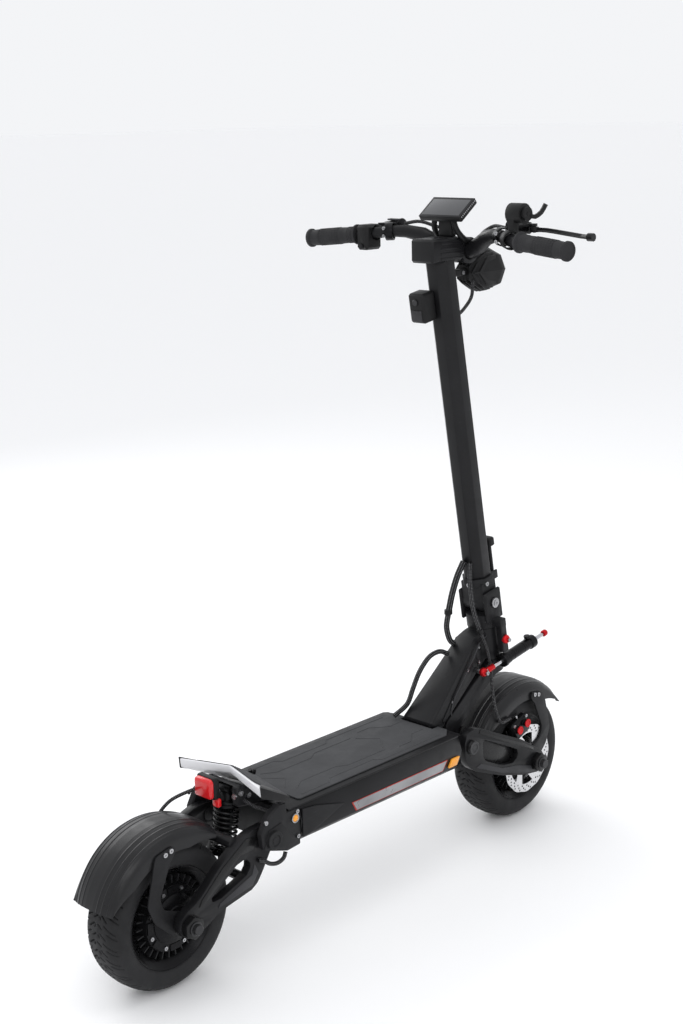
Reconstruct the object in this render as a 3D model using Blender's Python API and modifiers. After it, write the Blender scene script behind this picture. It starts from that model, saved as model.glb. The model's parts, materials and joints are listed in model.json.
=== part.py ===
"""Electric kick scooter with two hub motors, a folding stem and sprung arms at both ends.

Frame: +X points forward, +Y to the rider's left, +Z up. The floor is at Z = 0, and the
origin is under the middle of the scooter's box. Lengths are in metres. Side-view
positions are written as (ahead, up), where ahead is counted from the rear axle.
"""

from math import asin, atan2, cos, pi, radians, sin

import bmesh
import bpy
from mathutils import Matrix, Vector

# ---- driving dimensions ----
WHEELBASE = 0.904
TYRE_RADIUS = 0.1275
TYRE_HALF_WIDTH = 0.0415
TYRE_STEPS = 32
AXLE_UP = TYRE_RADIUS * cos(pi / TYRE_STEPS)  # a flat facet of the tyre rests on the floor
RIM_RADIUS = 0.070
ORIGIN_AHEAD = 0.4412  # from the rear axle to the middle of the scooter's box
GAP = 0.0003

DECK_TOP = 0.2618
DECK_HALF_WIDTH = 0.0935
MAT_THICKNESS = 0.0028
TUB_REAR = 0.235
TUB_FRONT = 0.6525
TUB_TOP = 0.2585
TUB_FLOOR = 0.1905

ARM_INNER = 0.062
ARM_OUTER = 0.078
NUT_OUTER = 0.0905
AXLE_RADIUS = 0.0082
DISC_RADIUS = 0.070
DISC_INNER_FACE = 0.0520
DISC_THICKNESS = 0.0020

REAR_AXLE = (0.0, AXLE_UP)
REAR_PIVOT = (0.170, 0.222)
SHOCK_TOP = (0.160, 0.290)
SHOCK_BOTTOM = (0.139, 0.152)
FRONT_AXLE = (WHEELBASE, AXLE_UP)
FRONT_PIVOT = (0.702, 0.218)

STEER_TILT = radians(9.74)  # the steering axis leans back by this much
STEER_POINT = (0.8442, 0.348)  # the foot of the head tube, on the steering axis
HEAD_LENGTH = 0.066
FOLD_HEIGHT = 0.1177  # the fold pin, along the steering axis from STEER_POINT
STEM_FLATS = 0.050
STEM_START = 0.0525  # along the stem from the fold pin
STEM_END = 0.6750
DAMPER_OFFSET = 0.045  # the damper lies this far to the right of the steering axis

BAR_RADIUS = 0.0159
BAR_END_RADIUS = 0.0111
BAR_ROUTE = [
    (0.765, 0.000, 1.135),
    (0.765, 0.020, 1.135),
    (0.765, 0.033, 1.136),
    (0.760, 0.052, 1.146),
    (0.752, 0.075, 1.160),
    (0.740, 0.104, 1.166),
    (0.722, 0.137, 1.165),
    (0.7053, 0.165, 1.1618),
    (0.703, 0.185, 1.160),
    (0.690, 0.298, 1.150),
]

BLACK = (0.012, 0.012, 0.013)
SATIN_BLACK = (0.018, 0.018, 0.020)
GREY = (0.075, 0.075, 0.080)
SILVER = (0.62, 0.62, 0.63)
RED = (0.45, 0.01, 0.012)
WHITE = (0.80, 0.80, 0.82)


# ---- scene and small helpers ----
def clear_scene():
    for obj in list(bpy.data.objects):
        bpy.data.objects.remove(obj, do_unlink=True)


def new_collection(name):
    collection = bpy.data.collections.new(name)
    bpy.context.scene.collection.children.link(collection)
    return collection


clear_scene()
PARTS = new_collection("electric_kick_scooter")
CUTTERS = new_collection("cutters")


def spot(ahead, left, up):
    """A point of the scooter in world space."""
    return Vector((ahead - ORIGIN_AHEAD, left, up))


def add_object(name, mesh, collection=PARTS):
    obj = bpy.data.objects.new(name, mesh)
    collection.objects.link(obj)
    return obj


def add_empty(name, place, parent=None):
    """A joint's empty, on the joint's axis."""
    empty = bpy.data.objects.new(name, None)
    empty.empty_display_size = 0.03
    PARTS.objects.link(empty)
    empty.location = place
    if parent is not None:
        hang(empty, parent)
    return empty


def hang(obj, joint):
    """Parents an object to a joint's empty and keeps its place."""
    bpy.context.view_layer.update()
    obj.parent = joint
    obj.matrix_parent_inverse = joint.matrix_world.inverted()


def finish(obj, colour, roughness, metallic=0.0):
    material = bpy.data.materials.new(obj.name + "_finish")
    material.use_nodes = True
    shader = material.node_tree.nodes["Principled BSDF"]
    shader.inputs["Base Color"].default_value = (*colour, 1.0)
    shader.inputs["Roughness"].default_value = roughness
    shader.inputs["Metallic"].default_value = metallic
    obj.data.materials.clear()
    obj.data.materials.append(material)


def mesh_from(build):
    """A mesh that build(bm) fills."""
    mesh = bpy.data.meshes.new("shape")
    bm = bmesh.new()
    build(bm)
    bm.to_mesh(mesh)
    bm.free()
    return mesh


def block(name, size, place, turn_y=0.0, bevel=0.0):
    """A box of the given size, tilted about Y, with its edges chamfered."""

    def build(bm):
        bmesh.ops.create_cube(bm, size=1.0)
        bmesh.ops.scale(bm, vec=size, verts=bm.verts)

    obj = add_object(name, mesh_from(build))
    obj.location = place
    obj.rotation_euler = (0.0, turn_y, 0.0)
    if bevel:
        modifier = obj.modifiers.new("edges", "BEVEL")
        modifier.width = bevel
        modifier.segments = 1
    return obj


def rod(name, start, end, radius, sides=16, end_radius=None):
    """A straight round bar, or a cone, between two points."""
    start = Vector(start)
    end = Vector(end)
    length = (end - start).length

    def build(bm):
        bmesh.ops.create_cone(
            bm,
            cap_ends=True,
            segments=sides,
            radius1=radius,
            radius2=radius if end_radius is None else end_radius,
            depth=length,
        )

    obj = add_object(name, mesh_from(build))
    obj.location = (start + end) / 2
    obj.rotation_euler = (end - start).to_track_quat("Z", "Y").to_euler()
    obj.data.set_sharp_from_angle(angle=radians(40))
    return obj


def across(name, place, inner, outer, radius, sides=16):
    """A round bar along Y at a side-view place, from one distance left to another."""
    ahead, up = place
    return rod(name, spot(ahead, inner, up), spot(ahead, outer, up), radius, sides)


def turned(name, profile, place, sides=32, half_step=False):
    """A ring turned about Y. The profile is (radius, left), down its outer side first."""

    def build(bm):
        corners = [bm.verts.new((radius, 0.0, left)) for radius, left in profile]
        for here, there in zip(corners, corners[1:] + corners[:1]):
            bm.edges.new((here, there))

    obj = add_object(name, mesh_from(build))
    obj.location = place
    spin = pi / sides if half_step else 0.0
    obj.rotation_euler = (-pi / 2, spin, 0.0)
    screw = obj.modifiers.new("turn", "SCREW")
    screw.steps = sides
    screw.render_steps = sides
    screw.use_merge_vertices = True
    screw.merge_threshold = 0.00001
    screw.use_smooth_shade = True
    return obj


def rounded(corners, radius, steps=3):
    """An outline whose corners are replaced by short curves."""
    points = []
    for i, corner in enumerate(corners):
        here = Vector(corner)
        before = Vector(corners[i - 1])
        after = Vector(corners[(i + 1) % len(corners)])
        back = (before - here).normalized() * min(radius, (before - here).length * 0.45)
        onward = (after - here).normalized() * min(radius, (after - here).length * 0.45)
        for k in range(steps + 1):
            t = k / steps
            bend = (here + back) * (1 - t) ** 2 + here * 2 * t * (1 - t) + (here + onward) * t**2
            points.append((bend.x, bend.y))
    return points


def circle(centre, radius, sides=16):
    return [
        (centre[0] + radius * cos(2 * pi * k / sides), centre[1] + radius * sin(2 * pi * k / sides))
        for k in range(sides)
    ]


PLANES = {
    "side": (Vector((1, 0, 0)), Vector((0, 0, 1))),
    "front": (Vector((0, 1, 0)), Vector((0, 0, 1))),
    "plan": (Vector((1, 0, 0)), Vector((0, 1, 0))),
}


def flat(name, loops, thickness, place, plane="side", bevel=0.0):
    """A flat outline with holes, given a thickness both ways from its plane."""
    curve = bpy.data.curves.new(name + "_outline", "CURVE")
    curve.dimensions = "2D"
    curve.fill_mode = "BOTH"
    curve.extrude = thickness / 2
    for loop in loops:
        spline = curve.splines.new("POLY")
        spline.points.add(len(loop) - 1)
        for point, (across_it, up_it) in zip(spline.points, loop):
            point.co = (across_it, up_it, 0.0, 1.0)
        spline.use_cyclic_u = True
    right, up = PLANES[plane]
    facing = right.cross(up)
    turn = Matrix((right, up, facing)).transposed().to_4x4()
    holder = bpy.data.objects.new(name + "_outline", curve)
    PARTS.objects.link(holder)
    holder.matrix_world = Matrix.Translation(place) @ turn
    return curve_to_mesh(name, holder, bevel)


def curve_to_mesh(name, holder, bevel=0.0):
    """Turns a curve into a mesh object at the same place and removes the curve."""
    bpy.context.view_layer.update()
    graph = bpy.context.evaluated_depsgraph_get()
    mesh = bpy.data.meshes.new_from_object(holder.evaluated_get(graph))
    bm = bmesh.new()
    bm.from_mesh(mesh)
    bmesh.ops.remove_doubles(bm, verts=bm.verts, dist=0.000005)
    bm.to_mesh(mesh)
    bm.free()
    obj = add_object(name, mesh)
    obj.matrix_world = holder.matrix_world.copy()
    bpy.data.objects.remove(holder, do_unlink=True)
    if bevel:
        modifier = obj.modifiers.new("edges", "BEVEL")
        modifier.width = bevel
        modifier.segments = 1
        modifier.angle_limit = radians(50)
    return obj


def smooth_route(corners, spacing):
    """Points about one spacing apart on a smooth curve through the corners."""
    corners = [Vector(corner) for corner in corners]
    ends = [2 * corners[0] - corners[1]] + corners + [2 * corners[-1] - corners[-2]]
    points = []
    for i in range(1, len(ends) - 2):
        a, b, c, d = ends[i - 1 : i + 3]
        steps = max(1, round((c - b).length / spacing))
        for k in range(steps):
            t = k / steps
            points.append(
                0.5 * (2 * b + (c - a) * t + (2 * a - 5 * b + 4 * c - d) * t**2
                       + (3 * b - a - 3 * c + d) * t**3)
            )
    points.append(corners[-1])
    return points


def tube(name, points, radius, resolution=2, radii=None):
    """A round cable or bar along a list of points."""
    curve = bpy.data.curves.new(name, "CURVE")
    curve.dimensions = "3D"
    curve.bevel_depth = radius
    curve.bevel_resolution = resolution
    curve.use_fill_caps = True
    spline = curve.splines.new("POLY")
    spline.points.add(len(points) - 1)
    for i, (point, place) in enumerate(zip(spline.points, points)):
        point.co = (*place, 1.0)
        point.radius = 1.0 if radii is None else radii[i]
    holder = bpy.data.objects.new(name, curve)
    PARTS.objects.link(holder)
    return holder


def mesh_tube(name, points, radius, resolution=2, radii=None):
    return curve_to_mesh(name, tube(name + "_line", points, radius, resolution, radii))


def set_aside(tool):
    """Moves a Boolean's other shape to the cutters."""
    PARTS.objects.unlink(tool)
    CUTTERS.objects.link(tool)
    tool.hide_render = True
    tool.display_type = "WIRE"


def join(base, *tools):
    for tool in tools:
        modifier = base.modifiers.new("join", "BOOLEAN")
        modifier.operation = "UNION"
        modifier.object = tool
        set_aside(tool)
    return base


def cut(base, *tools):
    for tool in tools:
        modifier = base.modifiers.new("cut", "BOOLEAN")
        modifier.operation = "DIFFERENCE"
        modifier.object = tool
        set_aside(tool)
    return base


# ---- frames along the steering axis and the stem ----
AXIS_UP = Vector((-sin(STEER_TILT), 0.0, cos(STEER_TILT)))
AXIS_AHEAD = Vector((cos(STEER_TILT), 0.0, sin(STEER_TILT)))
STEER_FOOT = spot(STEER_POINT[0], 0.0, STEER_POINT[1])
FOLD_PIN = STEER_FOOT + AXIS_UP * FOLD_HEIGHT


def on_axis(ahead, left, along, base=STEER_FOOT):
    """A point given ahead of, left of and along the tilted steering axis."""
    return base + AXIS_AHEAD * ahead + Vector((0, left, 0)) + AXIS_UP * along


def on_stem(ahead, left, along):
    return on_axis(ahead, left, along, FOLD_PIN)


def axis_block(name, low, high, bevel=0.0, base=STEER_FOOT):
    """A box square to the tilted axis, from its lowest corner to its highest."""
    size = [b - a for a, b in zip(low, high)]
    middle = [(a + b) / 2 for a, b in zip(low, high)]
    return block(name, size, on_axis(*middle, base=base), turn_y=-STEER_TILT, bevel=bevel)


def axis_rod(name, start, end, radius, sides=24, base=STEER_FOOT):
    """A round bar on the tilted axis between two heights along it."""
    return rod(name, on_axis(0, 0, start, base), on_axis(0, 0, end, base), radius, sides)


def axis_octagon(name, start, end, flats, base=FOLD_PIN):
    """An eight-sided bar on the tilted axis, with a flat facing forward."""
    obj = rod(name, on_axis(0, 0, start, base), on_axis(0, 0, end, base), flats / 2 / cos(pi / 8), 8)
    obj.rotation_euler = (0.0, -STEER_TILT, 0.0)
    obj.data.transform(Matrix.Rotation(pi / 8, 4, "Z"))
    return obj


# ---- joints ----
CHASSIS = add_empty("chassis_origin", (0, 0, 0))
KICKSTAND_PIVOT = spot(0.235, 0.1045, 0.206)
REAR_ARM = add_empty("rear_arm_joint", spot(REAR_PIVOT[0], 0, REAR_PIVOT[1]), CHASSIS)
REAR_WHEEL = add_empty("rear_wheel_joint", spot(0, 0, AXLE_UP), REAR_ARM)
SHOCK = add_empty("shock_joint", spot(SHOCK_TOP[0], 0, SHOCK_TOP[1]), CHASSIS)
FORK = add_empty("steering_joint", STEER_FOOT, CHASSIS)
FRONT_ARM = add_empty("front_arm_joint", spot(FRONT_PIVOT[0], 0, FRONT_PIVOT[1]), FORK)
FRONT_WHEEL = add_empty("front_wheel_joint", spot(WHEELBASE, 0, AXLE_UP), FRONT_ARM)
STEM = add_empty("fold_joint", FOLD_PIN, FORK)
KICKSTAND = add_empty("kickstand_joint", KICKSTAND_PIVOT, CHASSIS)
DAMPER = add_empty("damper_slide", on_axis(0.0, -DAMPER_OFFSET, 0.0), CHASSIS)


# ---- wheels: tyre, hub motor, brake disc ----
def tyre(name, joint):
    half = [
        (RIM_RADIUS + 0.0005, 0.0305),
        (RIM_RADIUS + 0.0065, 0.0312),
        (0.0790, 0.0350),
        (0.0880, 0.0400),
        (0.1040, TYRE_HALF_WIDTH),
        (0.1165, 0.0370),
        (0.1240, 0.0270),
        (TYRE_RADIUS, 0.0140),
    ]
    profile = half + [(radius, -left) for radius, left in reversed(half)]
    obj = turned(name, profile, joint.matrix_world.translation, TYRE_STEPS, half_step=True)
    finish(obj, (0.020, 0.020, 0.021), 0.75)
    hang(obj, joint)


def hub_motor(name, joint, disc_side):
    """The rim and motor in one casting. Its boss is longer on the disc's side."""
    left_end = DISC_INNER_FACE - GAP if disc_side > 0 else 0.0460
    right_end = DISC_INNER_FACE - GAP if disc_side < 0 else 0.0460
    face = [(0.0260, 0.0415), (0.0520, 0.0375), (0.0620, 0.0345), (0.0755, 0.0345), (0.0755, 0.0318)]
    profile = [(0.0090, left_end), (0.0240, left_end)]
    profile += face + [(RIM_RADIUS, 0.0312)]
    profile += [(RIM_RADIUS, -0.0312)] + [(radius, -left) for radius, left in reversed(face)]
    profile += [(0.0240, -right_end), (0.0090, -right_end)]
    obj = turned(name, profile, joint.matrix_world.translation, 24)
    finish(obj, BLACK, 0.45, 0.6)
    hang(obj, joint)


def brake_disc(name, joint, side):
    middle = side * (DISC_INNER_FACE + DISC_THICKNESS / 2)
    low = middle - DISC_THICKNESS / 2
    high = middle + DISC_THICKNESS / 2
    profile = [(0.0120, high), (DISC_RADIUS, high), (DISC_RADIUS, low), (0.0120, low)]
    obj = turned(name, profile, joint.matrix_world.translation, 32)
    finish(obj, SILVER, 0.30, 1.0)
    hang(obj, joint)


def axle(name, place, arm):
    """The axle bar with a large hexagonal nut at each end."""
    bar = across(name, place, -NUT_OUTER + 0.002, NUT_OUTER - 0.002, AXLE_RADIUS, 16)
    nuts = [
        across(name + "_nut", place, side * (ARM_OUTER + GAP), side * NUT_OUTER, 0.0195, 6)
        for side in (-1, 1)
    ]
    join(bar, *nuts)
    finish(bar, BLACK, 0.35, 0.8)
    hang(bar, arm)


# ---- fenders and their stays ----
FENDER_HALF = [(0.122, 0.0525), (0.141, 0.0525), (0.1515, 0.0440), (0.1575, 0.0230), (0.1590, 0.0)]


def fender(name, place, start_deg, end_deg, arm):
    """An arched shell swept about the axle between two angles from straight ahead."""
    section = FENDER_HALF + [(radius, -left) for radius, left in reversed(FENDER_HALF[:-1])]
    steps = 12

    def build(bm):
        corners = [bm.verts.new((radius, left, 0.0)) for radius, left in section]
        edges = [bm.edges.new(pair) for pair in zip(corners, corners[1:])]
        bmesh.ops.rotate(bm, verts=corners, matrix=Matrix.Rotation(-radians(start_deg), 3, "Y"))
        bmesh.ops.spin(
            bm,
            geom=corners + edges,
            axis=(0, -1, 0),
            angle=radians(end_deg - start_deg),
            steps=steps,
        )
        bmesh.ops.recalc_face_normals(bm, faces=bm.faces)

    obj = add_object(name, mesh_from(build))
    obj.location = spot(place[0], 0, place[1])
    wall = obj.modifiers.new("wall", "SOLIDIFY")
    wall.thickness = 0.0022
    wall.offset = 0.0
    wall.use_even_offset = True
    finish(obj, SATIN_BLACK, 0.30)
    hang(obj, arm)


STAY_OUTLINE = [
    (-0.048, 0.128), (-0.068, 0.050), (-0.056, 0.018), (-0.020, -0.016), (0.013, -0.013),
    (0.017, 0.008), (-0.006, 0.021), (-0.036, 0.034), (-0.043, 0.055), (-0.018, 0.112),
    (-0.006, 0.124), (-0.010, 0.136),
]


def fender_stay(name, place, facing, side, arm):
    """A boomerang plate from the axle up to the fender's skirt."""
    outline = [(facing * ahead + place[0], up + place[1]) for ahead, up in STAY_OUTLINE]
    middle = side * 0.0566
    loops = [rounded(outline, 0.007, 2), circle(place, AXLE_RADIUS + 0.0006, 12)]
    obj = flat(name, loops, 0.0038, spot(0, middle, 0))
    finish(obj, SATIN_BLACK, 0.42, 0.4)
    hang(obj, arm)


# ---- brake calipers ----
def caliper(name, place, angle_deg, side, arm):
    """A two-pot caliper over the disc's rim, with two round caps on its outer face."""
    out = Vector((cos(radians(angle_deg)), 0, sin(radians(angle_deg))))
    along = Vector((-out.z, 0, out.x))
    middle = spot(place[0], 0, place[1])
    tilt = pi / 2 - radians(angle_deg)
    inner = 0.0436
    outer = ARM_INNER - 0.0008

    def offset(reach, shift, left):
        return middle + out * reach + along * shift + Vector((0, side * left, 0))

    body = block(name, (0.050, outer - inner, 0.040), offset(0.078, 0, (inner + outer) / 2), tilt, 0.004)
    slot = block(name + "_slot", (0.080, 0.0044, 0.040), offset(0.0525, 0, 0.0530), tilt)
    cut(body, slot)
    caps = [
        rod(
            name + "_cap", offset(0.083, shift, outer - 0.002), offset(0.083, shift, outer + 0.0065),
            0.0075, 12,
        )
        for shift in (-0.0125, 0.0125)
    ]
    join(body, *caps)
    finish(body, BLACK, 0.40, 0.5)
    hang(body, arm)


# ---- rear swing arm and shock absorber ----
REAR_ARM_OUTLINE = [
    (0.150, 0.243), (0.128, 0.241), (0.070, 0.207), (0.020, 0.163), (-0.012, 0.150),
    (-0.023, 0.134), (-0.018, 0.113), (0.002, 0.103), (0.030, 0.110), (0.062, 0.127),
    (0.142, 0.141), (0.158, 0.160), (0.178, 0.192), (0.190, 0.212), (0.188, 0.234), (0.174, 0.244),
]
REAR_ARM_WINDOW = [(0.040, 0.153), (0.110, 0.199), (0.134, 0.196), (0.132, 0.172), (0.060, 0.147)]


def rear_swingarm():
    loops = [
        rounded(REAR_ARM_OUTLINE, 0.008, 1),
        rounded(REAR_ARM_WINDOW, 0.008, 1),
        circle(REAR_AXLE, AXLE_RADIUS + GAP, 16),
        circle(REAR_PIVOT, 0.0125, 20),
    ]
    middle = (ARM_INNER + ARM_OUTER) / 2
    width = ARM_OUTER - ARM_INNER
    arm = flat("rear_swingarm", loops, width, spot(0, -middle, 0))
    other = flat("rear_arm_left", loops, width, spot(0, middle, 0))
    reach = ARM_INNER + 0.004
    brace = across("rear_arm_brace", (0.108, 0.228), -reach, reach, 0.010, 12)
    pin = across("rear_arm_pin", SHOCK_BOTTOM, -0.018, 0.018, 0.0045, 12)
    sleeves = [
        across("rear_arm_sleeve", SHOCK_BOTTOM, side * 0.0160, side * reach, 0.0085, 12)
        for side in (-1, 1)
    ]
    join(arm, other, brace, *sleeves, pin)
    finish(arm, SATIN_BLACK, 0.42, 0.4)
    hang(arm, REAR_ARM)


SHOCK_UP = (spot(SHOCK_TOP[0], 0, SHOCK_TOP[1]) - spot(SHOCK_BOTTOM[0], 0, SHOCK_BOTTOM[1])).normalized()
SHOCK_LENGTH = (Vector(SHOCK_TOP) - Vector(SHOCK_BOTTOM)).length
COIL_START = 0.036
COIL_END = 0.106
COIL_RADIUS = 0.0195
COIL_WIRE = 0.0031


def on_shock(along):
    return spot(SHOCK_BOTTOM[0], 0, SHOCK_BOTTOM[1]) + SHOCK_UP * along


def shock_rod():
    """The lower eye, its spring seat and the plunger."""
    eye = across("shock_rod", SHOCK_BOTTOM, -0.0130, 0.0130, 0.0105, 16)
    neck = rod("shock_rod_neck", on_shock(0.006), on_shock(0.030), 0.0085, 12)
    seat = rod("shock_rod_seat", on_shock(0.027), on_shock(COIL_START - 0.0036), 0.0225, 20)
    plunger = rod("shock_rod_plunger", on_shock(0.028), on_shock(0.078), 0.0055, 12)
    bore = across("shock_rod_bore", SHOCK_BOTTOM, -0.020, 0.020, 0.0066, 16)
    join(eye, neck, seat, plunger)
    cut(eye, bore)
    finish(eye, BLACK, 0.35, 0.7)
    hang(eye, SHOCK)


def shock_body():
    """The upper eye, its spring seat and the damper's cylinder, open at the bottom."""
    top = SHOCK_LENGTH
    cylinder = rod("shock_body", on_shock(0.052), on_shock(top - 0.006), 0.0125, 16)
    seat = rod("shock_body_seat", on_shock(COIL_END + 0.0036), on_shock(COIL_END + 0.0086), 0.0225, 20)
    eye = across("shock_body_eye", SHOCK_TOP, -0.0120, 0.0120, 0.0105, 16)
    hollow = rod("shock_body_hollow", on_shock(0.045), on_shock(0.092), 0.0062, 12)
    bore = across("shock_body_bore", SHOCK_TOP, -0.020, 0.020, 0.0053, 16)
    join(cylinder, seat, eye)
    cut(cylinder, hollow, bore)
    finish(cylinder, BLACK, 0.35, 0.6)
    hang(cylinder, SHOCK)


def shock_spring():
    """The coil, five turns between the two seats."""
    turns = 5.5
    per_turn = 12
    sideways = Vector((0, 1, 0))
    forward = sideways.cross(SHOCK_UP)
    points = []
    for k in range(int(turns * per_turn) + 1):
        angle = 2 * pi * k / per_turn
        along = COIL_START + (COIL_END - COIL_START) * k / (turns * per_turn)
        points.append(on_shock(along) + (forward * cos(angle) + sideways * sin(angle)) * COIL_RADIUS)
    coil = tube("shock_spring", points, COIL_WIRE, 1)
    finish(coil, BLACK, 0.35, 0.5)
    hang(coil, SHOCK)


# ---- front arm and fork ----
FRONT_ARM_OUTLINE = [
    (0.684, 0.206), (0.684, 0.238), (0.694, 0.250), (0.722, 0.2505), (0.800, 0.213), (0.862, 0.184),
    (0.905, 0.154), (0.926, 0.141), (0.930, 0.117), (0.914, 0.103), (0.862, 0.111), (0.790, 0.133),
    (0.712, 0.166), (0.690, 0.184),
]
FRONT_ARM_WINDOW = [
    (0.735, 0.224), (0.800, 0.192), (0.848, 0.168), (0.836, 0.146), (0.795, 0.152), (0.738, 0.180),
]


def front_swingarm():
    loops = [
        rounded(FRONT_ARM_OUTLINE, 0.008, 1),
        rounded(FRONT_ARM_WINDOW, 0.008, 1),
        circle(FRONT_AXLE, AXLE_RADIUS + GAP, 16),
        circle(FRONT_PIVOT, 0.0084, 16),
    ]
    middle = (ARM_INNER + ARM_OUTER) / 2
    width = ARM_OUTER - ARM_INNER
    arm = flat("front_swingarm", loops, width, spot(0, -middle, 0))
    other = flat("front_arm_left", loops, width, spot(0, middle, 0))
    reach = ARM_INNER + 0.004
    brace = across("front_arm_brace", (0.738, 0.203), -reach, reach, 0.009, 12)
    knuckles = [
        across("front_arm_knuckle", FRONT_PIVOT, side * 0.0286, side * reach, 0.0160, 16)
        for side in (-1, 1)
    ]
    bore = across("front_arm_bore", FRONT_PIVOT, -0.09, 0.09, 0.0084, 16)
    join(arm, other, brace, *knuckles)
    cut(arm, bore)
    finish(arm, SATIN_BLACK, 0.42, 0.4)
    hang(arm, FRONT_ARM)


FORK_OUTLINE = [
    (0.842, 0.3440), (0.815, 0.3425), (0.760, 0.3060), (0.6915, 0.2575), (0.684, 0.236),
    (0.682, 0.2155), (0.692, 0.2005), (0.712, 0.2005), (0.7205, 0.214), (0.7215, 0.230),
    (0.765, 0.263), (0.800, 0.291), (0.845, 0.319), (0.866, 0.327),
]


def fork_bracket():
    """The crown under the head tube, the leg behind the wheel and the steerer."""
    leg = flat("fork_bracket", [rounded(FORK_OUTLINE, 0.006, 2)], 0.056, spot(0, 0, 0), bevel=0.003)
    crown = axis_rod("fork_crown", -0.030, -0.001, 0.0300)
    steerer = axis_rod("fork_steerer", -0.012, HEAD_LENGTH + 0.0006, 0.0150, 20)
    bore = across("fork_bore", FRONT_PIVOT, -0.05, 0.05, 0.0084, 16)
    join(leg, crown, steerer)
    cut(leg, bore)
    finish(leg, SATIN_BLACK, 0.45, 0.4)
    hang(leg, FORK)


def front_pivot_shaft():
    shaft = across("front_pivot_shaft", FRONT_PIVOT, -0.0800, 0.0800, 0.0080, 16)
    caps = [
        across("front_pivot_cap", FRONT_PIVOT, side * (ARM_OUTER + GAP), side * 0.0835, 0.0135, 16)
        for side in (-1, 1)
    ]
    join(shaft, *caps)
    finish(shaft, BLACK, 0.35, 0.8)
    hang(shaft, FORK)


def fold_base():
    """The steered half of the fold hinge: a block, two cheeks and the damper's stud arm."""
    start = HEAD_LENGTH + 0.001
    base = axis_rod("fold_base", start, 0.095, 0.0310)
    cheeks = [
        axis_block("fold_cheek", (-0.024, low, 0.080), (0.024, high, 0.1420), 0.003)
        for low, high in ((-0.0340, -0.0262), (0.0262, 0.0340))
    ]
    arm = axis_block("stud_arm", (-0.0085, -0.0520, start + 0.002), (0.0085, -0.0240, 0.086), 0.0015)
    stud = axis_block("stud_leg", (-0.0080, -0.0515, 0.0165), (0.0080, -0.0370, start + 0.006), 0.0015)
    bore = rod("fold_bore", on_axis(0, -0.05, FOLD_HEIGHT), on_axis(0, 0.05, FOLD_HEIGHT), 0.0063, 16)
    join(base, *cheeks, arm, stud)
    cut(base, bore)
    finish(base, SATIN_BLACK, 0.45, 0.4)
    hang(base, FORK)


def fold_pin():
    pin = rod("fold_pin", on_stem(0, -0.0370, 0), on_stem(0, 0.0370, 0), 0.0060, 16)
    heads = [
        rod("fold_pin_head", on_stem(0, side * (0.0340 + GAP), 0), on_stem(0, side * 0.0385, 0), 0.0100, 12)
        for side in (-1, 1)
    ]
    join(pin, *heads)
    finish(pin, SILVER, 0.30, 1.0)
    hang(pin, FORK)


# ---- chassis ----
TUB_HALF = [(0.0880, TUB_TOP), (0.0965, 0.2320), (0.0900, 0.2010), (0.0790, TUB_FLOOR)]
TUB_HALF_INNER = [(0.0745, 0.1945), (0.0855, 0.2030), (0.0920, 0.2320), (0.0840, TUB_TOP)]


def chassis_tub():
    """The battery tray: an open channel with bulging sides."""
    outline = TUB_HALF + [(-left, up) for left, up in reversed(TUB_HALF)]
    outline += [(-left, up) for left, up in reversed(TUB_HALF_INNER)] + TUB_HALF_INNER
    place = spot((TUB_REAR + TUB_FRONT) / 2, 0, 0)
    tub = flat("chassis_tub", [outline], TUB_FRONT - TUB_REAR, place, "front")
    finish(tub, SATIN_BLACK, 0.40, 0.4)
    hang(tub, CHASSIS)


NOTCH_HALF = 0.0400
NOTCH_REAR = 0.6345


def deck_outline(rear, front, half, chamfer):
    """A deck's plan with chamfered front corners and a notch for the neck."""
    right_side = [
        (rear, -half), (front - chamfer, -half), (front, -half + chamfer * 0.8),
        (front, -NOTCH_HALF), (NOTCH_REAR, -NOTCH_HALF),
    ]
    return right_side + [(ahead, -left) for ahead, left in reversed(right_side)]


def deck():
    plate = flat(
        "deck_plate",
        [deck_outline(0.2085, TUB_FRONT, DECK_HALF_WIDTH, 0.008)],
        DECK_TOP - TUB_TOP - GAP,
        spot(0, 0, (DECK_TOP + TUB_TOP + GAP) / 2),
        "plan",
    )
    finish(plate, SATIN_BLACK, 0.40, 0.5)
    hang(plate, CHASSIS)
    mat = flat(
        "deck_mat",
        [deck_outline(0.2460, 0.6500, 0.0800, 0.022)],
        MAT_THICKNESS,
        spot(0, 0, DECK_TOP + GAP + MAT_THICKNESS / 2),
        "plan",
    )
    finish(mat, GREY, 0.85)
    hang(mat, CHASSIS)


def battery_and_controller():
    floor = 0.1945 + GAP
    battery = block("battery_pack", (0.250, 0.140, 0.050), spot(0.385, 0, floor + 0.025), bevel=0.002)
    finish(battery, (0.02, 0.06, 0.16), 0.5)
    hang(battery, CHASSIS)
    controller = block("motor_controller", (0.110, 0.120, 0.038), spot(0.580, 0, floor + 0.019), bevel=0.002)
    finish(controller, (0.35, 0.35, 0.36), 0.4, 0.9)
    hang(controller, CHASSIS)


CASTING_EAR = [
    (0.240, TUB_TOP), (0.240, 0.1915), (0.205, 0.1890), (0.176, 0.1990), (0.150, 0.2080),
    (0.146, 0.2360), (0.162, 0.2640), (0.186, 0.2780), (0.2045, 0.2760), (0.2045, TUB_TOP),
]


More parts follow.
